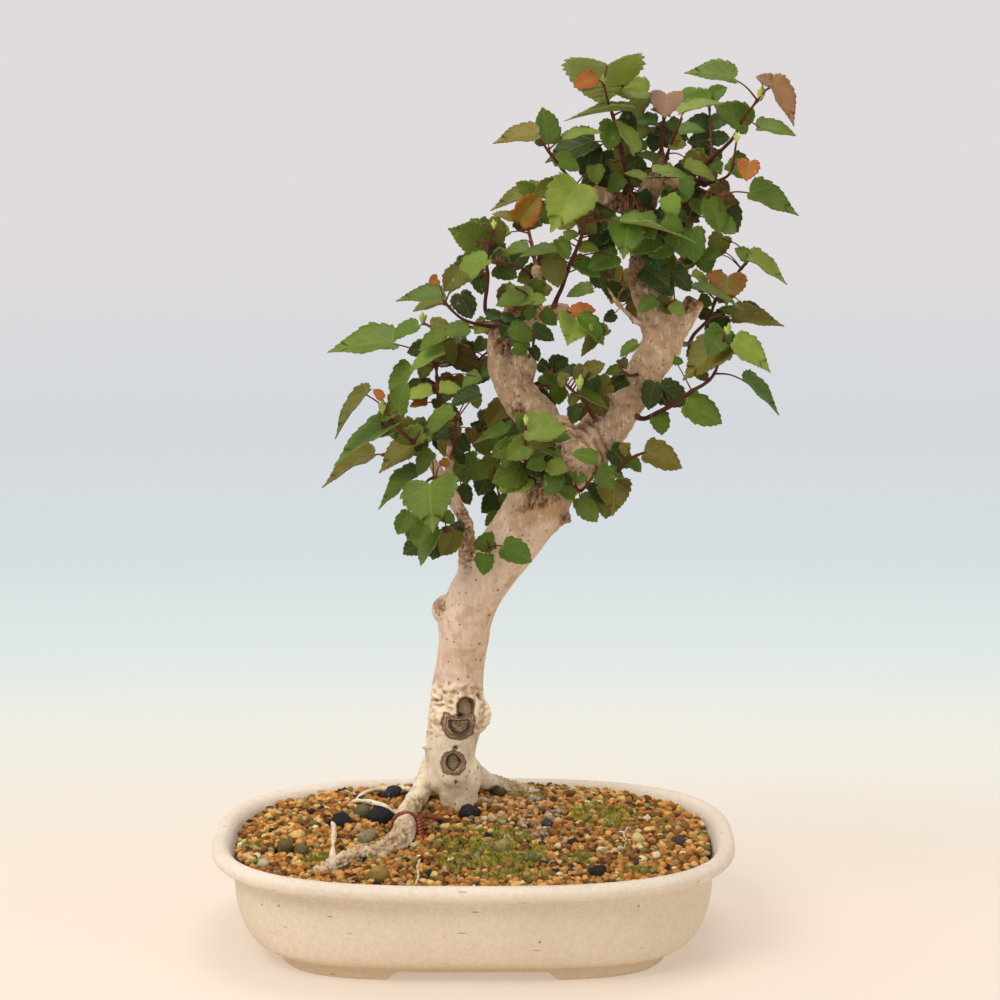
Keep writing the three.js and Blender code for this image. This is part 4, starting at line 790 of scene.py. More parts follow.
def ridge_collar(bark):
    """Close ridges across the limb, where old leaves sat."""
    middle_x, middle_z, way = COLLAR
    along = (bark.x - middle_x) * math.cos(way) + (bark.z - middle_z) * math.sin(way)
    aside = (bark.z - middle_z) * math.cos(way) - (bark.x - middle_x) * math.sin(way)
    bow = along + aside**2 / 40
    collar = ramp(np.abs(bow), 10, -2) * ramp(np.abs(aside), 22, -3) * bark.facing
    ridges = np.sin(bow * 1.25 + 2.2 * bark.small)
    bark.lift += collar * ridges
    # Painted shade in the troughs between the ridges.
    bark.darken(collar * np.clip(-1.8 * ridges - 0.7, 0, 1), FURROW_SHADE)


def wound_reaches(bark):
    """How far each point is seen from the middles of the three cuts: dead cores, then outer rings."""
    x, z = bark.x, bark.z
    moon = np.maximum(bark.oval(-8.6, 116.0, 5.8, 7.6), 1 + (z - 117.0) / 2.2)
    eye = np.abs(x + 12.7) / 3.9 + ((z - 91.3) / 5.9) ** 2
    moon_ring = np.maximum(bark.oval(-9.2, 116.0, 9.8, 11.0), 0.8 + (z - 117.0 - 0.42 * np.abs(x + 9.2)) / 6)
    eye_ring = bark.oval(-12.7, 90.8, 7.9, 8.3) + 0.10 * np.abs(np.sin(bark.small * 4))
    cores = [bark.oval(-5.2, 124.2, 4.9, 6.9), moon, eye]
    rings = [bark.oval(-4.6, 124.0, 9.5, 11.0), moon_ring, eye_ring]
    return [np.where(bark.facing > 0.3, np.array(group), FAR) for group in (cores, rings)]


def cut_wounds(bark):
    """Pale folded callus with painted shade in its folds, the three cuts in it and the small hollows. Gives
    the cuts' reaches.
    """
    x, z, small = bark.x, bark.z, bark.small
    crease = noise_of(bark.points * [1, 1, 1.6], 0.30, 9.0)
    cores, rings = wound_reaches(bark)
    callus = np.clip((z - 106 - 2 * small) / 3, 0, 1) * np.clip((139 + 4 * bark.broad - z) / 2.5, 0, 1)
    callus = callus * bark.facing * (np.abs(x + 8) < 26)
    bark.blend(CALLUS, callus)
    folds = np.cos(rings[0] * 8.5 + 2.2 * small) * ramp(rings[0], 2.3, -1)
    bark.lift += callus * (0.75 + 0.6 * folds + 1.5 * ramp(folds, 1.3, -1) * crease)
    # Painted shade in the troughs of the folds.
    bark.darken(callus * np.clip(-0.8 * folds - 0.1 - 2.2 * crease, 0, 1), [0.4, 0.5, 0.575])
    for core, deep in zip(cores, (1.6, 1.4, 1.5)):
        bark.lift -= ramp(core, 1.05, -0.2) * deep
    for ring, high in zip(rings[1:], (0.7, 0.9)):
        bark.lift += ramp(ring, 1.05, -0.15) * high
    for *place, deep, colour in HOLLOWS:
        share = ramp(bark.oval(*place) + 0.3 * crease, 1.1, -0.3) * bark.facing
        bark.lift -= share * deep
        bark.blend(linear(*colour), share)
    return cores, rings


def make_trunk():
    points, normals, faces = remeshed(rough_wood(), SKIN_CELL)
    bark = Bark(points, normals)
    age_bark(bark)
    crack_bark(bark)
    ridge_collar(bark)
    cores, rings = cut_wounds(bark)
    build = Build()
    build.add(points + normals * bark.lift[:, None], faces, np.clip(bark.tone, 0, 1), leaf=cores.T)
    trunk = make_object("bark_trunk", build, [BARK])
    outer = trunk.data.attributes.new("rings", "FLOAT_VECTOR", "POINT")
    outer.data.foreach_set("vector", rings.T.ravel())
    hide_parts("trunk")
    return facets(build.points[0], faces)


WOOD = make_trunk()

# Soil: bed, grains, moss
SOIL_EDGE_HEIGHT, SOIL_MOUND = 55.0, 9.0
SOIL_WALL = [(137.2, 94.2, 55, 2.8), (129.2, 87.7, 44.2, 2.9), (123.8, 82.3, 24.4, 3.1),
             (113.8, 72.8, 14.4, 3.4), (0, 0, 14.4, 3.4)]


def soil_height(x, y):
    return SOIL_EDGE_HEIGHT + SOIL_MOUND * np.exp(-((x / 95) ** 2)) * np.exp(-(((y - 50) / 60) ** 2))


def in_pot(x, y, edge):
    """Whether a spot lies on the soil, away from the wall by the edge."""
    return (abs(x) / (137.5 - edge)) ** 2.8 + (abs(y) / (94.5 - edge)) ** 2.8 < 1


def make_soil_bed():
    rings, sides = 56, 160
    rows = [(0, 0, 0, 2.8)] + [(137 * f, 94 * f, 0, 2.8) for f in np.linspace(0.02, 0.995, rings)]
    points, faces = ring_stack(rows + SOIL_WALL, even_turns(sides))
    top = 1 + rings * sides
    flat = points[:top]
    bumps = np.array([noise.noise(Vector((p[0] * 0.16, p[1] * 0.16, 3.0))) for p in flat.tolist()])
    points[:top, 2] = soil_height(flat[:, 0], flat[:, 1]) - 0.8 + 1.2 * bumps
    build = Build()
    build.add(points, [face[::-1] for face in faces], linear(58, 40, 24))
    bed = make_object("soil_bed", build, [GRAIN])
    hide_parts("soil")
    return points, build.faces


# Grains: the share of the draws up to which a tone holds, the tone
GRAIN_TONES = [
    (0.36, (192, 138, 72)), (0.62, (164, 108, 52)), (0.73, (210, 168, 104)), (0.87, (112, 74, 42)),
    (0.94, (124, 112, 60)), (0.965, (206, 184, 146)), (1.01, (66, 54, 44)),
]
# Single lumps: x, y, radius, colour
LUMPS = [
    (-62, 70, 6, (52, 48, 50)), (-50, 63, 6.5, (46, 42, 46)), (-77, 18, 6, (56, 52, 54)),
    (-55, 20, 8, (44, 42, 44)), (-3, 23, 6.5, (56, 50, 54)), (43, 12, 4, (60, 56, 56)),
    (57, -15, 4, (70, 62, 54)), (118, -10, 4.5, (62, 58, 56)), (70, -65, 5, (60, 56, 50)),
    (-108, -22, 6.5, (108, 92, 56)), (-98, -28, 5.2, (96, 84, 52)), (-66, 30, 6, (112, 108, 80)),
    (33, -42, 6, (140, 116, 100)), (-62, -8, 6, (120, 112, 84)), (95, -8, 5, (176, 160, 110)),
    (15, 60, 6, (110, 96, 70)), (-118, -50, 5, (206, 190, 160)), (-103, -2, 4.5, (196, 158, 96)),
    (72, -48, 3, (150, 66, 44)), (-52, -72, 7, (198, 160, 88)), (16, -24, 5, (214, 190, 130)),
]
GRAIN_PITCH, GRAIN_SEED = 3.7, 11
# How near to the wood a grain can be in it, and where pale crusts lie on the grains
WOOD_REACH, CRUST_X, CRUST_Y = 12, (-4, 52), (-12, 56)
# Moss: middle x, y, half-sizes, share of the tufts
MOSS = [
    (8, -30, 34, 38, 0.55), (75, 30, 22, 20, 0.16), (-127, -15, 6, 7, 0.05), (-88, -40, 9, 8, 0.07),
    (95, -58, 8, 8, 0.03), (62, -40, 14, 12, 0.04), (30, 60, 14, 8, 0.03), (20, -70, 24, 10, 0.07),
]
MOSS_TUFTS, MOSS_SEED = 6500, 23


def lump_shape():
    """A cube with rounded-off faces, cut once, as a start for each grain."""
    points, faces, seen = [], [], {}
    for axis in range(3):
        for sign in (-1, 1):
            grid = []
            for a in (-1, 0, 1):
                for b in (-1, 0, 1):
                    p = [0, 0, 0]
                    p[axis], p[(axis + 1) % 3], p[(axis + 2) % 3] = sign, a * sign, b
                    key = tuple(p)
                    if key not in seen:
                        seen[key] = len(points)
                        points.append(p)
                    grid.append(seen[key])
            for i in (0, 1):
                for j in (0, 1):
                    k = i * 3 + j
                    faces.append((grid[k], grid[k + 3], grid[k + 4], grid[k + 1]))
    points = np.array(points, float)
    return points / np.linalg.norm(points, axis=1)[:, None] ** 0.85, faces


LUMP, LUMP_FACES = lump_shape()


def add_grain(build, draw, x, y, radius, colour, sink):
    """A grain of the soil, left out where it would lie in the wood."""
    centre = np.array([x, y, soil_height(x, y) + radius * sink])
    nearest, normal, _, distance = WOOD.find_nearest(Vector(centre))
    outside = (Vector(centre) - nearest).dot(normal) > 0
    if distance < radius * 0.35 or not outside and distance < WOOD_REACH:
        return
    turn, _ = np.linalg.qr(draw.normal(size=(3, 3)))
    if np.linalg.det(turn) < 0:
        turn[:, 0] *= -1
    sizes = radius * draw.uniform(0.78, 1.2, 3)
    body = LUMP * (1 + draw.uniform(-0.17, 0.17, (len(LUMP), 1)))
    points = (body * sizes) @ turn.T + centre
    tone = linear(*colour) * draw.uniform(0.6, 2.1)
    if draw.random() < moss_share(x, y) * 1.1:
        tone = tone * 0.55 + linear(118, 128, 52) * 0.45
    above = (points[:, 2:] - centre[2]) / radius
    # Painted shade: each grain is darker towards its bottom, where it meets the others.
    tone = tone * (0.2 + 0.8 * np.clip(above + 0.3, 0, 1))
    crusted = CRUST_X[0] < x < CRUST_X[1] and CRUST_Y[0] < y < CRUST_Y[1] and radius < 4
    if crusted and draw.random() < 0.4:
        crust = np.clip(above * 2.5 - 1.5, 0, 1) * draw.uniform(0.2, 0.9)
        tone = tone * (1 - crust) + linear(226, 214, 196) * crust
    build.add(points, LUMP_FACES, np.clip(tone, 0, 1))


def make_grains():
    draw = np.random.default_rng(GRAIN_SEED)
    build = Build()
    for x, y, radius, colour in LUMPS:
        add_grain(build, draw, x, y, radius, colour, 0.25)
    for row in range(-30, 31):
        for column in range(-42, 43):
            x = (column + 0.5 * (row % 2)) * GRAIN_PITCH + draw.uniform(-1.1, 1.1)
            y = row * GRAIN_PITCH * 0.9 + draw.uniform(-1.1, 1.1)
            radius = draw.uniform(1.65, 2.85)
            choice = draw.random()
            under_lump = any((x - a) ** 2 + (y - b) ** 2 < (r * 0.9) ** 2 for a, b, r, _ in LUMPS)
            if under_lump or not in_pot(x, y, 1.6):
                continue
            colour = next(tone for limit, tone in GRAIN_TONES if choice < limit)
            add_grain(build, draw, x, y, radius, colour, 0.35)
    grains = make_object("soil_grains", build, [GRAIN])
    return np.concatenate(build.points), build.faces


def moss_share(x, y):
    """1 in the middle of a patch of moss, 0 outside all of them."""
    return max(max(0.0, 1 - ((x - a) / c) ** 2 - ((y - b) / d) ** 2) for a, b, c, d, _ in MOSS)


def make_moss(bed, grains):
    """Thin three-sided tufts that stand on whatever lies on top."""
    offset = len(bed[0])
    ground = facets(np.concatenate([bed[0], grains[0]]),
                    list(bed[1]) + [tuple(offset + i for i in face) for face in grains[1]])
    draw = np.random.default_rng(MOSS_SEED)
    build = Build()
    for a, b, c, d, share in MOSS:
        for _ in range(int(MOSS_TUFTS * share)):
            turn, reach = draw.uniform(0, 2 * math.pi), math.sqrt(draw.random())
            x, y = a + c * reach * math.cos(turn), b + d * reach * math.sin(turn)
            patch = noise.noise(Vector((x * 0.09, y * 0.09, 7.0)))
            size = draw.uniform(0.8, 2.0)
            lean = draw.normal(0, 0.45, 2)
            light = draw.random()
            hit = ground.ray_cast(Vector((x, y, 90)), Vector((0, 0, -1)))[0]
            if patch < -0.05 or not in_pot(x, y, 3) or hit is None:
                continue
            base = np.array(hit)
            corners = [base + [0.42 * math.cos(t), 0.42 * math.sin(t), -0.3] for t in (0.0, 2.1, 4.2)]
            tip = base + [lean[0] * size, lean[1] * size, size]
            tone = linear(96, 108, 30) * (1 - light) + linear(178, 184, 70) * light
            build.add([*corners, tip], [(0, 1, 3), (1, 2, 3), (2, 0, 3), (2, 1, 0)], tone)
    moss = make_object("moss", build, [TWIG], smooth=False)


# Fine pale roots and bits lying on the soil: x, y points and radius
LOOSE_ROOTS = [
    ([(-30, -44), (-31, -58), (-30, -70), (-31, -84)], 0.7),
    ([(90, 10), (87, 0), (88, -12), (86, -24)], 0.55),
    ([(84, -6), (90, -16), (92, -26)], 0.4),
    ([(-96, 84), (-80, 80), (-70, 66)], 0.5),
    ([(60, 78), (50, 72), (42, 76)], 0.5),
]


def make_loose_roots():
    build = Build()
    for flat, radius in LOOSE_ROOTS:
        points = [(x, y, soil_height(x, y) + 2.6) for x, y in flat]
        path, radii = smooth_path(points, [radius] * len(points), 1.5)
        path[:, 2] += 0.5 * np.sin(np.arange(len(path)) * 1.1)
        build.add(*tube(path, radii, 7), linear(206, 188, 152))
    roots = make_object("loose_roots", build, [TWIG])


BED = make_soil_bed()
GRAINS = make_grains()
make_moss(BED, GRAINS)
make_loose_roots()

# Wire tie over the left root: x, y, z
WIRE_RADIUS = 1.1
WIRE_LOOP = [(-47.6, 3, 54), (-47, 2.8, 62.9), (-46.1, 2.5, 68), (-42.1, 2, 71.5), (-37.5, 1.5, 71.7),
             (-33.7, 1, 69.3), (-31.4, 0.4, 66.4)]
WIRE_TAIL = [(-34, 1.8, 69.2), (-30.5, 3.5, 69), (-25.5, 7.5, 67), (-19.8, 12, 64.5), (-15.5, 17, 61),
             (-13.8, 19, 55)]
TWIST_START, TWIST_END = np.array([-31.8, 1, 68.6]), np.array([-30.2, -9.5, 59])
TWIST_TURNS, TWIST_RADIUS = 3.2, 1.15


def make_wire():
    build = Build()
    for rows in (WIRE_LOOP, WIRE_TAIL):
        path, radii = smooth_path(rows, [WIRE_RADIUS] * len(rows), 0.8)
        build.add(*tube(path, radii, 14), WHITE)
    way = unit(TWIST_END - TWIST_START)
    side = unit(np.cross(way, [0, 0, 1.0]))
    other = np.cross(way, side)
    at = np.linspace(0, 1, 61)
    for phase in (0, math.pi):
        turn = phase + at * 2 * math.pi * TWIST_TURNS
        spread = TWIST_RADIUS * (np.cos(turn)[:, None] * side + np.sin(turn)[:, None] * other)
        path = TWIST_START + at[:, None] * (TWIST_END - TWIST_START) + spread
        build.add(*tube(path, np.full(len(at), WIRE_RADIUS), 12), WHITE)
    wire = make_object("twisted_wire", build, [WIRE])
    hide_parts("wire_tie")


make_wire()

# Leafy shoots: x, z points of the stem in the elevation, its depth and its radius from base to tip, the
# leaves that the solids have, small leaves that they don't have, and the bud as x, z, size.
# Rows of leaves: x, z of the notch, x, z of the tip, seen width, tone ("u": underside shown), turn.
Shoot = namedtuple("Shoot", "path depth radius leaves small bud")
SHOOTS = {}


def shoot(name, path, depth, radius, leaves, small, bud=None):
    SHOOTS[name] = Shoot(path, depth, radius, leaves, small, bud)


shoot("apex_left", [(88, 422), (86.5, 436), (78.3, 471.4), (75.9, 478), (73, 489)], (22, 2), (1.9, 1), [
    (75.2, 499.3, 69.5, 478, 44, "gu", -0.5), (88, 474.5, 51.5, 468.5, 7, "l"),
    (68, 457.5, 40.7, 445.5, 18, "d"), (78, 468, 76.5, 452, 14, "g"), (90.5, 451.5, 79.6, 469, 8, "l"),
    (84, 437, 76, 429, 10, "g"),
], [
    (68, 492.3, 56.4, 487, 9, "y"), (67, 455, 62.8, 436, 9, "d"), (82, 470, 91, 462, 14, "d"),
], (73, 490, 2.2))
shoot("apex_front", [(68, 428), (60, 431), (44.3, 449.3), (35.5, 461.2)], (18, -30), (1.7, 1), [
    (36, 461, 11.3, 456, 12, "o"), (42, 456, 39, 476, 10, "g"), (51.5, 458.5, 72, 462, 7, "l"),
    (47, 447, 60, 441, 9, "g"),
], [])
shoot("apex_centre", [(106, 442), (105.5, 452), (107, 471)], (25, 44), (1.8, 1.1), [
    (97.5, 485, 78.5, 485, 14, "l"), (108.2, 483, 107, 470.8, 18.5, "p"), (103, 468, 89.5, 468, 8, "g"),
    (104, 446, 92, 450, 7, "g"),
], [
    (98, 484, 89.5, 469, 8, "o"), (110, 472, 99.5, 475, 6, "l"), (102, 461, 101, 451, 9, "d"),
    (97, 455, 90, 455, 6, "g"), (110, 469, 116.5, 462, 8, "g"),
])
shoot("apex_right_inner", [(107, 442), (110, 453), (117, 470)], (24, -8), (1.5, 1), [
    (117, 473, 140, 478, 7, "l"), (115.5, 463, 130, 463, 8, "g"),
], [(117, 458, 110, 453, 8, "o")])
shoot("top_right_back", [(123, 432.5), (131, 440), (133.5, 448.6), (132.8, 466), (132, 480)],
      (23, 78), (1.6, 1), [
    (132, 480, 115.5, 480, 12, "g"), (132.8, 466, 119, 467.7, 11, "d"), (132, 458, 120, 457, 10, "d"),
], [
    (132, 482, 142, 487, 9, "g"), (118, 482, 124.5, 487, 6, "l"), (133, 467, 144, 470, 9, "d"),
    (134, 459, 144, 459, 9, "d"), (129, 449, 119, 450, 8, "g"),
])
shoot("top_right", [(126, 432), (130.3, 443), (145.7, 459), (150.5, 468.3), (159, 480)],
      (22, -14), (1.9, 1.1), [
    (144.9, 492.5, 118, 495, 14, "g"), (168.2, 489, 179.6, 465.8, 10, "p"),
    (159.7, 464.6, 180.8, 460.3, 9, "g"), (154, 466, 135, 477, 15, "g"),
], [(168.2, 489, 158, 493, 8, "p"), (139, 446, 133, 440, 6, "g")], (161, 482, 3))
shoot("top_right_front", [(118.5, 432.5), (137, 435), (144.3, 439.4), (147.6, 456.6)], (22, -48), (1.6, 1), [
    (143, 445, 153.5, 436.6, 9, "g"), (155.2, 445.5, 153.2, 435.4, 12, "y"),
    (119, 443.5, 136.5, 434.5, 9, "l"), (101.5, 440, 124.5, 433.5, 7, "l"),
], [(97, 436, 85, 439.5, 6, "l")], (147.8, 458, 2))
shoot("right_shoulder", [(122, 432), (127, 429.5), (134, 429), (139, 427)], (23, -26), (1.5, 0.9), [
    (156, 428.5, 183.2, 415.7, 15, "g"), (137.8, 424.7, 149.4, 406.3, 13, "d"),
    (133, 424, 139.3, 406, 12, "g"), (127, 425, 128, 416, 11, "g"),
], [(129, 424, 136, 419, 6, "l")])
shoot("right_upper", [(98, 402), (106, 404), (113, 410), (121, 410)], (26, -12), (1.5, 0.9), [
    (107, 421, 123.7, 408, 7, "g"), (123.4, 408, 124.7, 389, 15, "g"), (109.3, 404, 120, 392, 8, "g"),
], [(119, 416, 127.7, 412, 6, "d"), (97.8, 386, 110.5, 376.5, 17, "d")])
shoot("right_knot", [(106, 361), (110, 365), (114, 368)], (22, 4), (1.3, 0.8), [], [
    (103.1, 368, 93.1, 362, 9, "g"), (105, 369, 112, 359.5, 8, "o"), (112.5, 366, 119.5, 360, 8, "l"),
    (113, 384, 123, 373, 10, "d"),
])
shoot("right_upper_back", [(101, 384), (108, 388), (115, 389)], (28, 70), (1.5, 0.9), [
    (96.5, 387, 110.5, 376.5, 14, "d"), (111.7, 386, 122, 380, 9, "d"), (118, 392, 128, 396, 10, "d"),
], [(122, 375, 114, 381, 7, "d"), (110, 380, 117, 376, 6, "g"), (112, 394, 104, 399, 9, "d")])
shoot("right_middle", [(113, 345), (122, 343), (125, 348), (134, 358), (137.4, 368), (156.3, 391.6)],
      (29, 62), (2, 1.2), [
    (144, 381, 143, 365.7, 22.5, "r"), (156.3, 391.6, 177.5, 376.8, 11, "l"),
    (124, 382.6, 133.7, 375.7, 5, "l"), (126, 374, 153, 362.5, 6, "l"), (147.6, 358, 176.3, 353, 12, "o"),
], [
    (156, 392, 147.7, 397.3, 8, "l"), (127, 376, 133, 373, 6, "d"), (128, 369, 135, 365, 8, "g"),
    (128, 362, 136, 358, 8, "d"), (153, 364, 163, 363, 6, "d"), (148, 360, 139.5, 363.5, 6, "g"),
])
shoot("right_lower", [(86, 308), (96, 300), (106, 304), (115.7, 309.4), (124.5, 316), (132, 320.3),
      (137.2, 326), (142.7, 348)], (25, -34), (2.2, 1.3), [
    (143, 343, 119.5, 322, 17, "o"), (148.7, 344, 169, 326.5, 13, "l"), (154.7, 322, 174.4, 302, 9, "g"),
    (121.5, 308, 142, 297.5, 17, "g"), (107, 318, 121, 308, 16, "d"), (106.5, 303.3, 107.6, 290.5, 11, "g"),
    (103, 320, 100, 305, 8, "d"),
], [
    (144, 341, 150, 338, 6, "d"), (129, 341, 121, 336, 10, "d"), (129, 327, 133, 322, 7, "d"),
    (114, 334, 119.5, 332, 5, "g"),
], (144.4, 350, 2.4))
shoot("lower_right", [(70, 272), (80, 268), (89.5, 276.7), (98, 280.6)], (20, -34), (2, 1.2), [
    (98, 280.6, 119.4, 271.6, 15, "o"), (81, 264, 80, 245, 19, "o"),
], [(89.5, 276, 96, 269, 6, "g"), (87, 286, 86.5, 278, 5, "o"), (77, 270, 86, 266, 6, "g")])
shoot("lower_centre", [(56, 262), (61, 258), (66, 263), (71, 271)], (18, -42), (1.6, 1), [
    (71.5, 271, 80, 259, 11, "g"), (60.7, 253.5, 70.8, 239.7, 12, "g"), (58, 255, 47, 259.5, 8, "g"),
    (70, 276, 56, 279.5, 8, "g"),
], [(57, 269, 54, 262, 6, "g"), (64, 267, 60, 263, 5, "g")])
shoot("centre_tall", [(45, 361), (47, 368), (50.2, 375), (53.3, 384.4), (57.7, 395), (60.8, 403),
      (62.7, 411.3), (62, 424)], (31, -18), (2.2, 1.2), [
    (58.5, 433, 43.5, 407, 27, "l"), (87.5, 412, 84.6, 392, 20, "g"), (87, 411.5, 125.4, 400.5, 7, "l"),
    (47, 395.4, 26.5, 392.5, 8, "g"), (48, 402, 54, 391, 8, "g"), (44.5, 393, 47.7, 375, 12, "o"),
    (57, 389, 72, 381, 9, "g"), (81, 393, 65, 386, 12, "g"),
], [
    (51.5, 404, 60, 405, 6, "g"), (60, 398, 71, 396, 7, "l"), (72, 413, 82, 412, 10, "d"),
    (65, 411, 72, 408, 7, "d"),
], (61.5, 421, 4.4))
shoot("back_left_top", [(36, 384), (33, 400), (31, 409), (30, 420)], (38, 84), (1.8, 1), [
    (38, 429, 10, 418.5, 11, "o"), (27, 413, 38, 428, 16, "r"), (36, 421, 43, 411, 12, "g"),
    (20, 406.5, 5, 398.5, 8, "g"), (31, 397, 17, 394, 7, "g"),
], [
    (26, 412, 11, 416.5, 7, "o"), (34, 428, 24, 434, 9, "g"), (38, 430, 48, 427, 9, "g"),
    (38, 412, 27, 408, 7, "o"),
], (30, 421, 4))
shoot("left_top", [(36, 372), (31, 384), (22, 388), (14, 390)], (36, -2), (1.6, 0.9), [
    (13, 387, 25, 381, 12, "d"), (34, 370, 36, 381.5, 12, "g"), (7, 390, -14, 371, 11, "l"),
], [(17, 394, 10, 389, 8, "d")])
shoot("left_upright", [(15, 357), (7.5, 360.6), (8.3, 380), (7.7, 389.4), (9.6, 400.7), (11.7, 409)],
      (38, 14), (1.9, 1), [
    (1.5, 401, -14, 409, 19, "g"), (3, 383, 5, 371, 10, "d"),
], [(6, 378, -1, 384, 8, "d")], (11.7, 409.5, 2))
shoot("left_middle", [(14, 352), (-5, 356.6), (-16, 366)], (37, -22), (1.8, 1), [
    (-7.2, 385, -16, 373.2, 13, "o"), (-18.4, 370, -43.6, 367.2, 9, "g"), (-15.5, 367, -34, 361.5, 7, "o"),
], [(-20.5, 380, -25, 378, 6, "y")])
shoot("left_middle_low", [(13, 348), (-4, 353), (-20, 351), (-28, 355)], (37, 62), (1.7, 1), [
    (-32, 353.5, -45.3, 345.8, 8, "g"), (-24, 354, -12, 352, 7, "o"), (-15.7, 349, -30.5, 339, 8, "g"),
    (-3, 352, -17, 348, 9, "g"),
], [(7, 356, 1, 349, 9, "l"), (8, 359, 18, 358, 7, "d")], (-28.5, 356, 2.8))
shoot("left_tall", [(-13, 282), (-14.5, 292.7), (-19, 305.5), (-20.3, 318.4), (-21.2, 331)],
      (28, 58), (2, 1.2), [
    (-46.3, 343.8, -82.6, 338, 16, "g"), (-11, 331.5, -6, 350, 26, "du"), (-35.5, 330.5, -47.3, 314, 9, "g"),
    (-24, 315.8, -40, 311, 8, "l"), (-19, 317, -6, 316, 8, "l"), (3.5, 325, -6.5, 317, 8, "g"),
], [(-17.5, 338.5, -36, 327, 8, "l"), (-27.5, 309, -36.5, 307, 5, "y")])
shoot("left_low_front", [(-27, 279), (-29.5, 282), (-43.6, 294.7), (-46.7, 298.8)], (7, -34), (2, 1.2), [
    (-60.5, 315, -79, 288.3, 8, "o"), (-45, 297, -79.7, 272.9, 12, "g"), (-43.6, 294.7, -58, 289, 7, "l"),
], [
    (-52, 312, -57, 317, 5, "y"), (-43, 305, -38, 322, 8, "g"), (-44, 306, -53, 298.5, 7, "g"),
    (-27, 296, -35, 293, 7, "d"),
], (-52, 305, 3))
shoot("left_low", [(-27, 279), (-34, 280), (-44, 281), (-52, 279)], (6, 46), (2.2, 1.6), [
    (-58, 278.7, -86.8, 260, 11, "o"), (-32, 287, -54, 268.5, 13, "o"), (-25, 289, -37, 288, 7, "o"),
], [(-33.3, 268.3, -54.4, 247.3, 9, "g")])
shoot("left_inner", [(-13, 276), (-10.5, 287), (-10, 299)], (25, 2), (1.6, 1), [
    (3.5, 315, -13, 307.5, 10, "d"), (-14, 296, -23, 288, 9, "d"),
], [(-12.3, 303.6, -27.2, 290, 9, "g"), (-9, 289, -2, 281, 8, "d")])
shoot("left_drooping", [(-17, 265), (-25, 265), (-31, 257)], (11, -28), (1.6, 1), [
    (-25, 262, -24.3, 236.5, 31, "g"), (-37, 245, -43.8, 232.6, 11, "g"), (-23.5, 280.6, -32, 267, 7, "g"),
], [(-31, 240, -32, 224.7, 8, "g"), (-18, 276, -14, 272, 5, "y")])
shoot("left_drooping_back", [(-13, 262), (-7, 266), (-4, 276)], (19, 62), (1.4, 0.9), [
    (-6, 279, -4.7, 263, 17, "g"), (-8, 261, -2, 250, 9, "d"), (-2, 272, 8, 266, 12, "g"),
    (-8, 270, -16, 264, 11, "g"),
], [])
shoot("low_left", [(-5, 238), (-10, 237), (-16, 235)], (20, -18), (1.4, 0.9), [
    (-20.3, 235, -30.5, 214.4, 7, "g"), (-13, 230, -22, 219.6, 9, "d"),
], [(-6.5, 237, -16.5, 230.7, 7, "d")])
shoot("fork_inner", [(20, 236), (16, 250), (12, 268)], (27, 72), (1.6, 1), [
    (10, 271, 3, 255, 14, "d"), (14, 254, 5, 246, 13, "d"), (20, 256, 20, 246, 10, "g"),
    (16, 266, 26, 262, 12, "d"),
], [(14, 244, 7, 238, 9, "g"), (13, 279, 19, 275, 6, "d")])
shoot("trunk_sprout", [(9, 222), (9, 225), (8, 229)], (17, -10), (1.4, 0.9), [
    (12, 229, -0.5, 226, 11, "g"), (6.3, 220.7, 6, 209.6, 11, "g"), (17.3, 226, 33.3, 216.2, 13, "g"),
], [])
shoot("centre_front", [(38, 259), (33, 265), (30, 276), (30, 297)], (12, -34), (1.8, 1), [
    (32, 265, 14, 258, 13, "l"), (30, 294, 53, 293.5, 16, "l"), (31, 286, 19, 276.5, 13, "g"),
], [(30, 297, 24, 303, 8, "g")], (30, 298, 2))
shoot("centre_low", [(48, 268), (47, 276), (46, 285)], (16, -22), (1.4, 0.9), [], [
    (45.5, 288, 56, 289, 6, "g"), (40.5, 283.5, 50.5, 277.5, 6, "g"), (38, 280, 34, 273, 7, "d"),
])
shoot("left_branch_back", [(33, 306), (20, 300), (9, 297)], (31, 78), (1.6, 1), [
    (4, 299, 17.5, 300, 13, "du"), (24.7, 294.7, 0, 285.4, 9, "g"), (14, 297, 22, 288, 12, "d"),
], [(12, 307, 20, 312, 8, "d"), (10, 292, -2, 297, 13, "d")])
shoot("centre_gap", [(74, 296), (67, 303), (64, 310.7), (57, 315.8), (53, 319.6)], (22, -26), (1.7, 1), [
    (62.5, 326, 47, 325.5, 7, "d"), (59, 315, 76.5, 306, 7, "g"),
], [
    (63.3, 326, 75, 331.5, 9, "o"), (52, 326, 50, 318, 6, "o"), (58, 314, 55, 307, 6, "o"),
    (60, 308, 56, 297, 8, "d"),
], (60.5, 319, 3))
shoot("centre_back", [(30, 316), (39, 319), (45, 327)], (33, 80), (1.6, 1), [
    (39.5, 325, 47.5, 316, 9, "g"), (48, 319, 49, 308, 10, "g"), (45, 330, 54, 335, 11, "d"),
    (40, 318, 31, 312, 11, "d"),
], [(37, 332, 44, 327, 8, "d"), (42, 313, 47, 307, 6, "d")])
shoot("right_trunk_left", [(96, 326), (88, 325), (83, 330)], (26, -22), (1.4, 0.9), [
    (87.5, 322, 74.5, 315, 9, "d"), (93, 343, 83.5, 335.7, 6, "g"),
], [(85, 328, 75, 326, 6, "g"), (84, 334, 87, 329, 6, "d")])
shoot("arm_end", [(53, 361), (60, 360), (65, 355)], (31, -8), (1.5, 0.9), [
    (56.5, 361, 69.5, 362, 8, "y"), (58.3, 356.9, 54, 342.7, 20, "l"), (61, 358, 74, 342.5, 9, "g"),
], [(76.3, 351, 61.5, 336, 8, "o")])
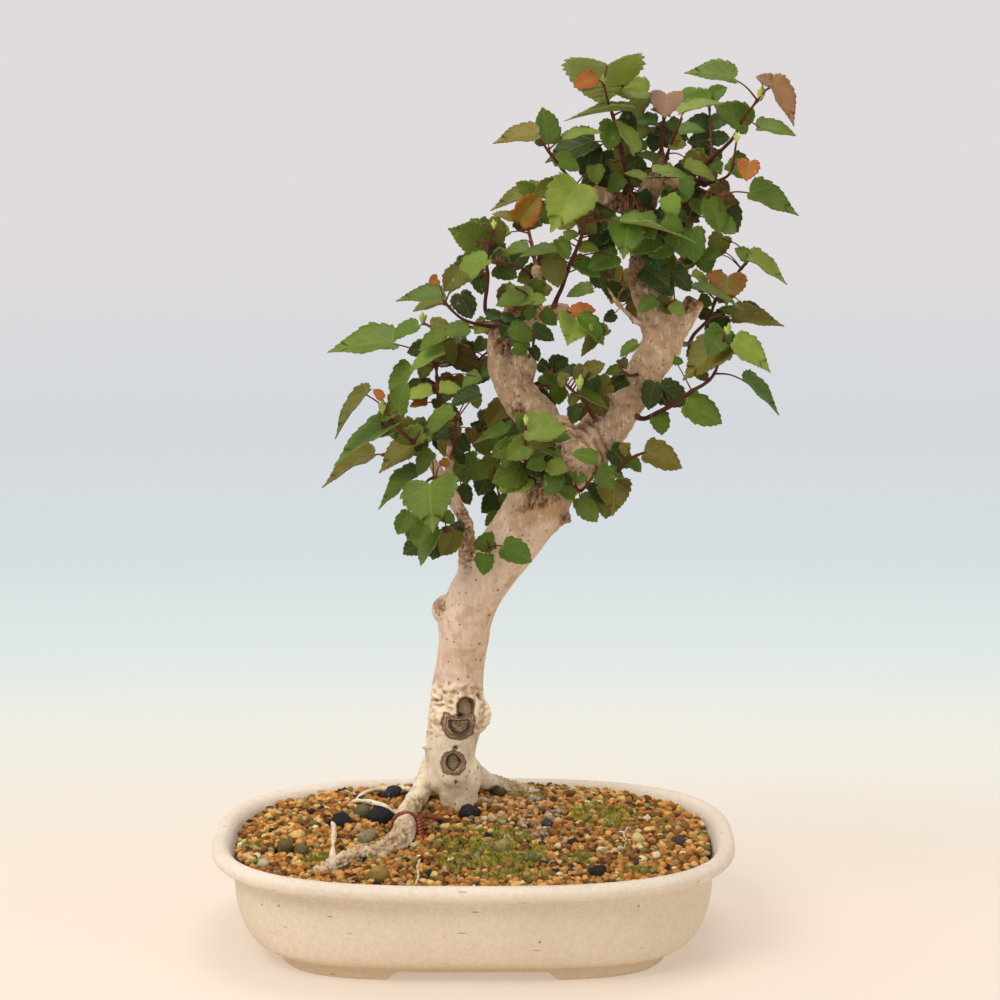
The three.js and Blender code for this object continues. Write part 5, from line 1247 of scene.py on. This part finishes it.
shoot("right_trunk_back", [(99, 368), (90, 368), (84, 378)], (29, 76), (1.6, 1), [
    (85, 385, 78, 366, 16, "o"), (90, 380, 100, 384, 12, "d"), (82, 372, 72, 377, 11, "d"),
], [(67, 374, 53, 370, 8, "g"), (80, 360, 74, 356, 7, "d"), (88, 372, 83, 367, 7, "d")])
shoot("middle_twig", [(36, 362), (32, 370), (24, 375)], (35, 2), (1.4, 0.9), [
    (33, 370, 13, 365, 12, "l"),
], [(33, 369, 41.5, 368, 7, "l"), (22, 377, 19, 373, 5, "g"), (33, 364, 31, 356, 7, "g")])
shoot("left_stub_shoot", [(15, 340), (8, 338), (3, 334)], (36, 74), (1.4, 0.9), [
    (1, 338, -10, 341, 12, "d"), (6, 328, 0, 320, 11, "d"),
], [(4.5, 327, 14, 330, 8, "g"), (10, 334, 3, 331, 6, "d"), (6, 346, 2, 338, 8, "d")])
shoot("stub_sprout", [(31, 334), (34, 342), (35, 350)], (32, -14), (1.3, 0.9), [
    (34, 351, 46, 345, 9, "d"),
], [(23, 341, 31, 338, 7, "g"), (33, 341, 37, 333, 5, "d")])

# Tones of the upper face and the underside: lit (painted light), green, shaded (painted shade), olive, brown,
# young, rust, pink
TONES = {
    "l": ((130, 150, 62), (148, 154, 82)), "g": ((93, 117, 40), (166, 172, 72)),
    "d": ((52, 70, 27), (88, 94, 44)), "o": ((112, 108, 42), (126, 116, 54)),
    "b": ((98, 74, 32), (110, 86, 40)), "y": ((178, 88, 44), (180, 104, 54)),
    "r": ((172, 88, 12), (166, 94, 24)), "p": ((158, 120, 92), (160, 126, 98)),
}
# How far behind its stem a leaf of each tone stands, and the shifts tried after that
SET_BACK = {"l": -6, "g": -2, "d": 9, "o": 3, "b": 8, "y": -4, "r": -5, "p": -3}
SLIDES = [0, 4, -4, 8, -8, 12, -12, 16, -16, 20, -20, 26, -26, 32, -32]
FOLD, DROOP, SIGHT_TILT = 0.3, 0.16, 0.185
# The least breadth of a blade for its seen length, and the least length for its seen breadth
LEAST_ACROSS, LEAST_LENGTH = 0.8, 1.12
STEM_TONE, STALK_TONE, STALK_GREEN = linear(62, 30, 20), linear(106, 50, 32), linear(128, 98, 48)
STEM_FOOT, BUD_TONE = linear(132, 100, 74), linear(172, 178, 84)
# Young leaves are paler in the middle
HEARTS = {"r": (134, 122, 28), "y": (170, 116, 36)}
# Half the thickness of a blade
HALF_THICK = 0.22
# Half outline of a blade, from the stalk's notch to the tip: along, across
OUTLINE = [(0, 0.0), (-0.08, 0.09), (-0.135, 0.32), (-0.12, 0.6), (-0.02, 0.85), (0.13, 0.98), (0.29, 1.0),
           (0.44, 0.92), (0.58, 0.74), (0.71, 0.5), (0.82, 0.27), (0.91, 0.11), (1.0, 0.0)]
ROUND_OUTLINE = [(0, 0.0), (-0.07, 0.09), (-0.12, 0.32), (-0.10, 0.6), (0.0, 0.84), (0.15, 0.97), (0.33, 1.0),
                 (0.50, 0.95), (0.66, 0.80), (0.79, 0.57), (0.89, 0.32), (0.95, 0.12), (1.0, 0.0)]
COLUMNS = [-1.0, -0.78, -0.48, -0.2, 0.0, 0.2, 0.48, 0.78, 1.0]


def stem_points(stem):
    """The stem's points, each at its own depth between base and tip."""
    reach = np.r_[0, np.cumsum([math.dist(a, b) for a, b in zip(stem.path, stem.path[1:])])]
    near, far = stem.depth
    return [spot(x, z, near + (far - near) * r / reach[-1]) for (x, z), r in zip(stem.path, reach)]


def leaf_root(stem, x, z):
    """The stem point that a leaf springs from: the nearest in the elevation, a little lower."""
    points, path, best, chosen = stem_points(stem), stem.path, math.inf, None
    for i in range(len(path) - 1):
        for k in range(5 if i == 0 else 1, 9):
            t = k / 8
            flat_x = path[i][0] + (path[i + 1][0] - path[i][0]) * t
            flat_z = path[i][1] + (path[i + 1][1] - path[i][1]) * t
            gap = abs(math.hypot(flat_x - x, flat_z - z) - 5) + (2 if flat_z > z else 0)
            if gap < best:
                best, chosen = gap, points[i] * (1 - t) + points[i + 1] * t
    return chosen


def turned(v, axis, angle):
    """A vector turned round an axis of length 1."""
    return (v * math.cos(angle) + np.cross(axis, v) * math.sin(angle)
            + axis * axis.dot(v) * (1 - math.cos(angle)))


class Leaf:
    """One leaf: where its stalk leaves the stem, its blade's own frame and its size."""

    def __init__(self, row, stem, depth_chance, roll, slide):
        x, z, tip_x, tip_z, width, tone, *turn = row
        side = -1 if tone.endswith("u") else 1
        self.tone = tone[0]
        self.root = leaf_root(stem, x, z)
        depth = self.root[1] + SET_BACK[self.tone] + depth_chance + slide
        self.notch = spot(x, z, depth)
        tip = spot(tip_x, tip_z, depth)
        seen = np.linalg.norm(tip - self.notch)
        self.across = max(width, LEAST_ACROSS * seen)
        self.length = max(seen, LEAST_LENGTH * width)
        opened = min(1.0, width / self.across)
        tilt = math.acos(opened) + side * SIGHT_TILT
        upright = np.array([0, -side * math.cos(tilt), math.sin(tilt)])
        end = tip - side * math.sqrt(max(0.0, self.length**2 - seen**2)) * unit(tip - EYE)
        for droop in (DROOP * self.length, 0.0):
            self.axis = unit(end - self.notch)
            self.normal = unit(upright - self.axis * upright.dot(self.axis))
            end = end + self.normal * droop
        self.normal = turned(self.normal, self.axis, roll * opened + sum(turn))
        self.sideways = np.cross(self.normal, self.axis)

    def at(self, u, v, lift=0.0):
        """Points of the folded, drooping blade: u along from notch to tip, v across from -1 to 1."""
        folded = np.sqrt(v**2 + 0.012) - 0.11
        rise = FOLD * folded * self.across / 2 - DROOP * u**2 * self.length + lift
        outer = np.multiply.outer
        return (self.notch + outer(u * self.length, self.axis)
                + outer(v * self.across / 2, self.sideways) + outer(rise, self.normal))


def grid_faces(rows, columns):
    """Faces of a grid whose points lie row after row."""
    return [(a, a + 1, a + columns + 1, a + columns)
            for i in range(rows - 1) for a in range(i * columns, i * columns + columns - 1)]


def leaf_grid(teeth, outline):
    """Rows from notch to tip, columns from margin over the rib to margin: along and across."""
    fine, _ = smooth_path([(u, v, 0) for u, v in outline], [0.0] * len(outline), 0.01)
    rows = 3 * teeth + 1
    reach = reach_along(fine)
    at = np.linspace(0, reach[-1], rows)
    u, v = np.interp(at, reach, fine[:, 0]), np.interp(at, reach, fine[:, 1])
    way_u, way_v = np.gradient(u), np.gradient(v)
    size = np.hypot(way_u, way_v)
    out_u, out_v = -way_v / size, way_u / size
    tooth = np.array([-0.03, 0.02, 0.055])[np.arange(rows) % 3] * 26 / (teeth + 15)
    tooth[:4] *= np.array([0, 0.2, 0.5, 0.8])
    tooth[-3:] *= np.array([0.7, 0.4, 0])
    tip_u = u + tooth * (out_u * 0.4 + way_u / size * 0.5)
    tip_v = v + tooth * (out_v + way_v / size * 0.5) * 1.6
    rib = np.maximum.accumulate(np.clip(tip_u - 0.32 * tip_v, 0, 1))
    rib[-1] = 1.0
    grid_u = np.array([rib + (tip_u - rib) * abs(share) for share in COLUMNS])
    grid_v = np.array([tip_v * share for share in COLUMNS])
    return grid_u.T, grid_v.T


GRIDS = {teeth: leaf_grid(teeth, OUTLINE if teeth == 13 else ROUND_OUTLINE) for teeth in (7, 9, 13, 17)}


def add_blade(build, leaf, draw):
    """Upper face, underside and rim of a blade, with lobes, waves and puckers of its own."""
    teeth = 17 if leaf.across > 40 else 13 if leaf.across >= 19 else 9 if leaf.across >= 11.5 else 7
    u, v = GRIDS[teeth]
    rows, columns = u.shape
    phase, bend, lobes = draw(0, 6.28), draw(0.6, 1.4), draw(0.25, 0.85)
    if leaf.tone in "ry" or leaf.across > 40 or leaf.tone == "p" and leaf.across < 22:
        lobes = 1.15
    u = np.where(u < 0, u * lobes, u)
    wave = 0.024 * bend * leaf.length * np.sin(2 * math.pi * 1.6 * u + phase + np.sign(v)) * v**2
    ripple = np.cos(2 * math.pi * 4.6 * (u - 0.45 * np.abs(v)))
    pucker = -0.014 * leaf.length * ripple * np.abs(v) * (1 - v**2)
    v = v * (1 + 0.07 * np.sin(5.2 * u + phase) * np.sign(v)) + 0.10 * math.sin(phase) * u * (1 - u)
    upper, lower = (leaf.at(u, v, wave + pucker + half).reshape(-1, 3) for half in (HALF_THICK, -HALF_THICK))
    count = rows * columns
    faces = grid_faces(rows, columns)
    under = [tuple(count + k for k in face[::-1]) for face in faces]
    rim = []
    for a in range(0, count - columns, columns):
        b, right = a + columns, columns - 1
        rim += [(a, b, count + b, count + a), (b + right, a + right, count + a + right, count + b + right)]
    faces += under + rim
    if np.dot(np.cross(leaf.sideways, leaf.axis), leaf.normal) < 0:
        faces = [face[::-1] for face in faces]
    top_tone, low_tone = (linear(*colour) for colour in TONES[leaf.tone])
    vary = draw(0.84, 1.18)
    warm = np.array([draw(0.92, 1.24), 1.0, draw(0.8, 1.1)])
    edge = np.clip(np.abs(v) ** 2 + (u - 0.4) ** 2, 0, 1).reshape(-1, 1)
    top = top_tone * vary * warm * (1.08 - 0.16 * edge)
    if leaf.tone in HEARTS:
        top = top * edge**0.5 + linear(*HEARTS[leaf.tone]) * (1 - edge**0.5)
    low = low_tone * vary * (1.0 - 0.1 * edge)
    place = np.stack([u, v, np.zeros_like(u)], -1).reshape(-1, 3)
    build.add(np.r_[upper, lower], faces, np.clip(np.r_[top, low], 0, 1), 0, np.r_[place, place + [0, 0, 1]])


def add_stalk(build, leaf):
    """A thin stalk from the stem to the blade's notch, greener towards the blade."""
    end = leaf.notch + leaf.axis * min(1.2, leaf.length / 8)
    span = np.linalg.norm(end - leaf.root)
    middle = (leaf.root + end) / 2 + np.array([0, 0, 0.07 * span]) - leaf.axis * 0.04 * span
    thick = min(1.0, 0.62 + leaf.length / 80)
    radii = [0.66 * thick, 0.46 * thick, 0.44 * thick]
    path, radii = smooth_path([leaf.root, middle, end], radii, max(1.5, span / 9))
    points, faces = tube(path, radii, 7)
    along = np.clip(np.linalg.norm(points - leaf.root, axis=1) / span, 0, 1)[:, None] ** 2
    build.add(points, faces, STALK_TONE * (1 - along * 0.5) + STALK_GREEN * along * 0.5, 1)


def add_bud(build, centre, size, draw):
    for lean, tall in ((0.0, 2.3), (0.55, 1.7), (-0.6, 1.5)):
        way = unit(np.array([lean + draw(-0.15, 0.15), draw(-0.4, 0.4), 1.0]))
        path = [centre + way * size * tall * t for t in (-0.35, -0.1, 0.2, 0.5, 0.75, 0.92, 1.0)]
        radii = np.array([0.2, 0.38, 0.5, 0.44, 0.28, 0.12, 0.02]) * size
        build.add(*tube(path, radii, 9), BUD_TONE * draw(0.8, 1.15), 1)


STEM_SIDES = 10


def add_stem(build, stem, roots):
    """A stem with a bark-toned foot where it meets the wood and a swelling at the root of each stalk."""
    start, end = stem.radius
    points = stem_points(stem)
    path, radii = smooth_path(points, np.linspace(0.68 * start, 0.58 * end, len(points)), 2.0)
    foot = np.array([math.exp(-((WOOD.find_nearest(Vector(p))[3] / 3) ** 2)) for p in path])
    radii = radii * (1 + 0.35 * foot)
    for root in roots:
        radii = radii + 0.22 * np.exp(-((np.linalg.norm(path - root, axis=1) / 1.7) ** 2))
    tube_points, faces = tube(path, radii, STEM_SIDES)
    along = np.r_[np.repeat(np.linspace(0, 1, len(path)), STEM_SIDES), 0, 1][:, None]
    foot = np.r_[np.repeat(foot, STEM_SIDES), 0, 0][:, None]
    tone = (STEM_TONE * (1 - along) + STALK_TONE * along * 0.9) * (1 - 0.8 * foot) + STEM_FOOT * 0.8 * foot
    build.add(tube_points, faces, tone, 1)


# Where the crown is dense: middle x, z, half-sizes, number of leaves drawn, how far behind the stem
CLUMPS = [
    (108, 436, 42, 32, 44, 9), (123, 408, 22, 20, 10, 9), (18, 386, 34, 32, 26, 9), (-23, 307, 27, 40, 28, 9),
    (24, 284, 24, 28, 22, 9), (-19, 244, 16, 18, 8, 9), (60, 324, 20, 18, 9, 9), (84, 388, 16, 26, 9, 9),
    (136, 366, 16, 18, 4, 9), (60, 428, 22, 20, 10, 9), (70, 273, 20, 18, 4, 9),
    (96, 414, 14, 16, 14, -15), (100, 388, 9, 9, 3, -15), (112, 434, 16, 8, 6, -12), (20, 350, 9, 10, 4, -14),
    (44, 276, 10, 16, 6, -12),
]
# How near to a stem a drawn leaf has to be
FILL_REACH = 24.0
LEAF_SEED, SMALL_SEED, LOOK_SEED, FILL_SEED = 7, 19, 31, 43


def taken_room(leaf):
    """What a leaf takes up: its middle, its reach and a few of its facets."""
    u, v = (side[::3, ::3] for side in GRIDS[7])
    points = leaf.at(u, v).reshape(-1, 3)
    return points.mean(0), leaf.length, facets(points, grid_faces(*u.shape))


# Spots of a blade, along and across, that are held to the solid
SAMPLE_U, SAMPLE_V = np.array([0.15, 0.35, 0.55, 0.7, 0.3, 0.3]), np.array([0, 0, 0, 0, 0.5, -0.5])


def solid_of(name):
    """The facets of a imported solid, in the millimetres of the tables."""
    data = NODES[name].data
    points = (np.array([v.co[:] for v in data.vertices]) - CENTRE) / MM
    return facets(points, [tuple(p.vertices) for p in data.polygons])


def placed_leaf(row, stem, draw, solid):
    """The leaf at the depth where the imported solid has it."""
    depth, roll = (draw() - 0.5) * 6, (draw() - 0.5) * 0.3
    least, best = math.inf, None
    for slide in SLIDES:
        leaf = Leaf(row, stem, depth, roll, slide)
        miss = max(solid.find_nearest(Vector(p))[3] for p in leaf.at(SAMPLE_U, SAMPLE_V))
        if miss < least - 0.3:
            least, best = miss, leaf
    return best


def clear_leaf(row, stem, draw, others, back=0.0, seen=True):
    """The first place where a small leaf meets neither another leaf nor wood, and whether there is one.
    back: how far behind its usual place it starts. seen: places that wood hides from the eye don't count."""
    depth, roll = back + (draw() - 0.5) * 6, (draw() - 0.5) * 0.3
    places = [Leaf(row, stem, depth, roll, slide) for slide in SLIDES]
    for leaf in places:
        middle, _, room = taken_room(leaf)
        if seen and WOOD.ray_cast(Vector(middle), Vector(unit(EYE - middle)))[0] is not None:
            continue
        near = [other for place, reach, other in others
                if np.linalg.norm(place - middle) < reach + leaf.length]
        if not room.overlap(WOOD) and not any(room.overlap(other) for other in near):
            return leaf, True
    return places[0], False


def fill_crown(leaves, others):
    """Small leaves drawn inside the crown, each on the nearest stem."""
    draw = Draw(FILL_SEED)
    for x, z, wide, high, count, back in CLUMPS:
        for _ in range(count):
            turn, reach = draw(0, 2 * math.pi), math.sqrt(draw())
            at_x, at_z = x + wide * reach * math.cos(turn), z + high * reach * math.sin(turn)
            way, length, broad = draw(-2.9, -0.25), draw(8.5, 17), draw(0.6, 1.0)
            # Filler leaves mostly take the shaded tone, painted shade inside the crown, and those behind the
            # stems more so.
            tone = ("dddbgobodo" if back > 0 else "dgdgddgdgl")[int(draw(0, 9.99))]
            gap, name = min((math.hypot(px - at_x, pz - at_z), name) for name, stem in SHOOTS.items()
                            for px, pz in stem.path)
            tip_x, tip_z = at_x + length * math.cos(way), at_z + length * math.sin(way)
            row = (at_x, at_z, tip_x, tip_z, length * broad, tone)
            leaf, free = clear_leaf(row, SHOOTS[name], draw, others, back, back < 0)
            if gap <= FILL_REACH and free:
                leaves[name].append(leaf)
                others.append(taken_room(leaf))


def make_shoots():
    draw, small_draw, look = Draw(LEAF_SEED), Draw(SMALL_SEED), Draw(LOOK_SEED)
    leaves, others = {name: [] for name in SHOOTS}, []
    for name, stem in SHOOTS.items():
        if "shoot_" + name in NODES:
            solid = solid_of("shoot_" + name)
            leaves[name] = [placed_leaf(row, stem, draw, solid) for row in stem.leaves]
            others += [taken_room(leaf) for leaf in leaves[name]]
    for name, stem in SHOOTS.items():
        for row in stem.small:
            leaf, _ = clear_leaf(row, stem, small_draw, others)
            leaves[name].append(leaf)
            others.append(taken_room(leaf))
    fill_crown(leaves, others)
    for name, stem in SHOOTS.items():
        build = Build()
        add_stem(build, stem, [leaf.root for leaf in leaves[name]])
        for leaf in leaves[name]:
            add_stalk(build, leaf)
            add_blade(build, leaf, look)
        if stem.bud:
            x, z, size = stem.bud
            add_bud(build, spot(x, z, stem.depth[1]), size, look)
        spray = make_object("spray_" + name, build, [LEAF, TWIG])
        if "shoot_" + name in NODES:
            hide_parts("shoot_" + name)


make_shoots()


# Floor, turned up far behind into a backdrop. Its tone changes with the distance: from, to (m), colour
BACKDROP = [
    (0.06, 0.42, (243, 239, 228)), (0.38, 0.74, (225, 233, 231)), (0.66, 1.15, (214, 222, 225)),
    (1.1, 1.8, (213, 217, 221)), (1.8, 4.3, (224, 219, 221)),
]


def make_floor():
    """A wide floor in metres, with its far edge bent up and a rim on the other sides."""
    near, reach, bend, wide, rise = -60.0, 5.0, 1.5, 60.0, 6.0
    curve = [(reach + bend * math.sin(t), bend * (1 - math.cos(t))) for t in np.linspace(0, math.pi / 2, 17)]
    line = [(near, rise), (near, 0.0), *curve, (reach + bend, rise)]
    across = ((-wide, rise), (-wide, 0), (wide, 0), (wide, rise))
    points = [(x, y, max(z, up)) for y, z in line for x, up in across]
    mesh = bpy.data.meshes.new("floor")
    mesh.from_pydata(points, [], grid_faces(len(line), 4))
    mesh.polygons.foreach_set("use_smooth", [True] * len(mesh.polygons))
    s = Shader("pale_floor")
    away = s.add("VectorMath", {0: s.scaled_place((0.45, 1.0, 0.0))}, operation="LENGTH").outputs["Value"]
    matt = s.surface((234, 216, 198), 0.9)
    tone = (252, 236, 217)
    for start, end, colour in BACKDROP:
        tone = s.mix(s.step(away, start, end), tone, colour)
    backdrop = s.add("Emission", {"Color": tone, "Strength": 1.0})
    far = s.weighed((s.step(away, 0.06, 0.45), 0.6), start=0.4)
    mesh.materials.append(s.finish(s.blended(far, matt, backdrop)))
    new_object("floor", mesh)


make_floor()

bpy.context.view_layer.update()
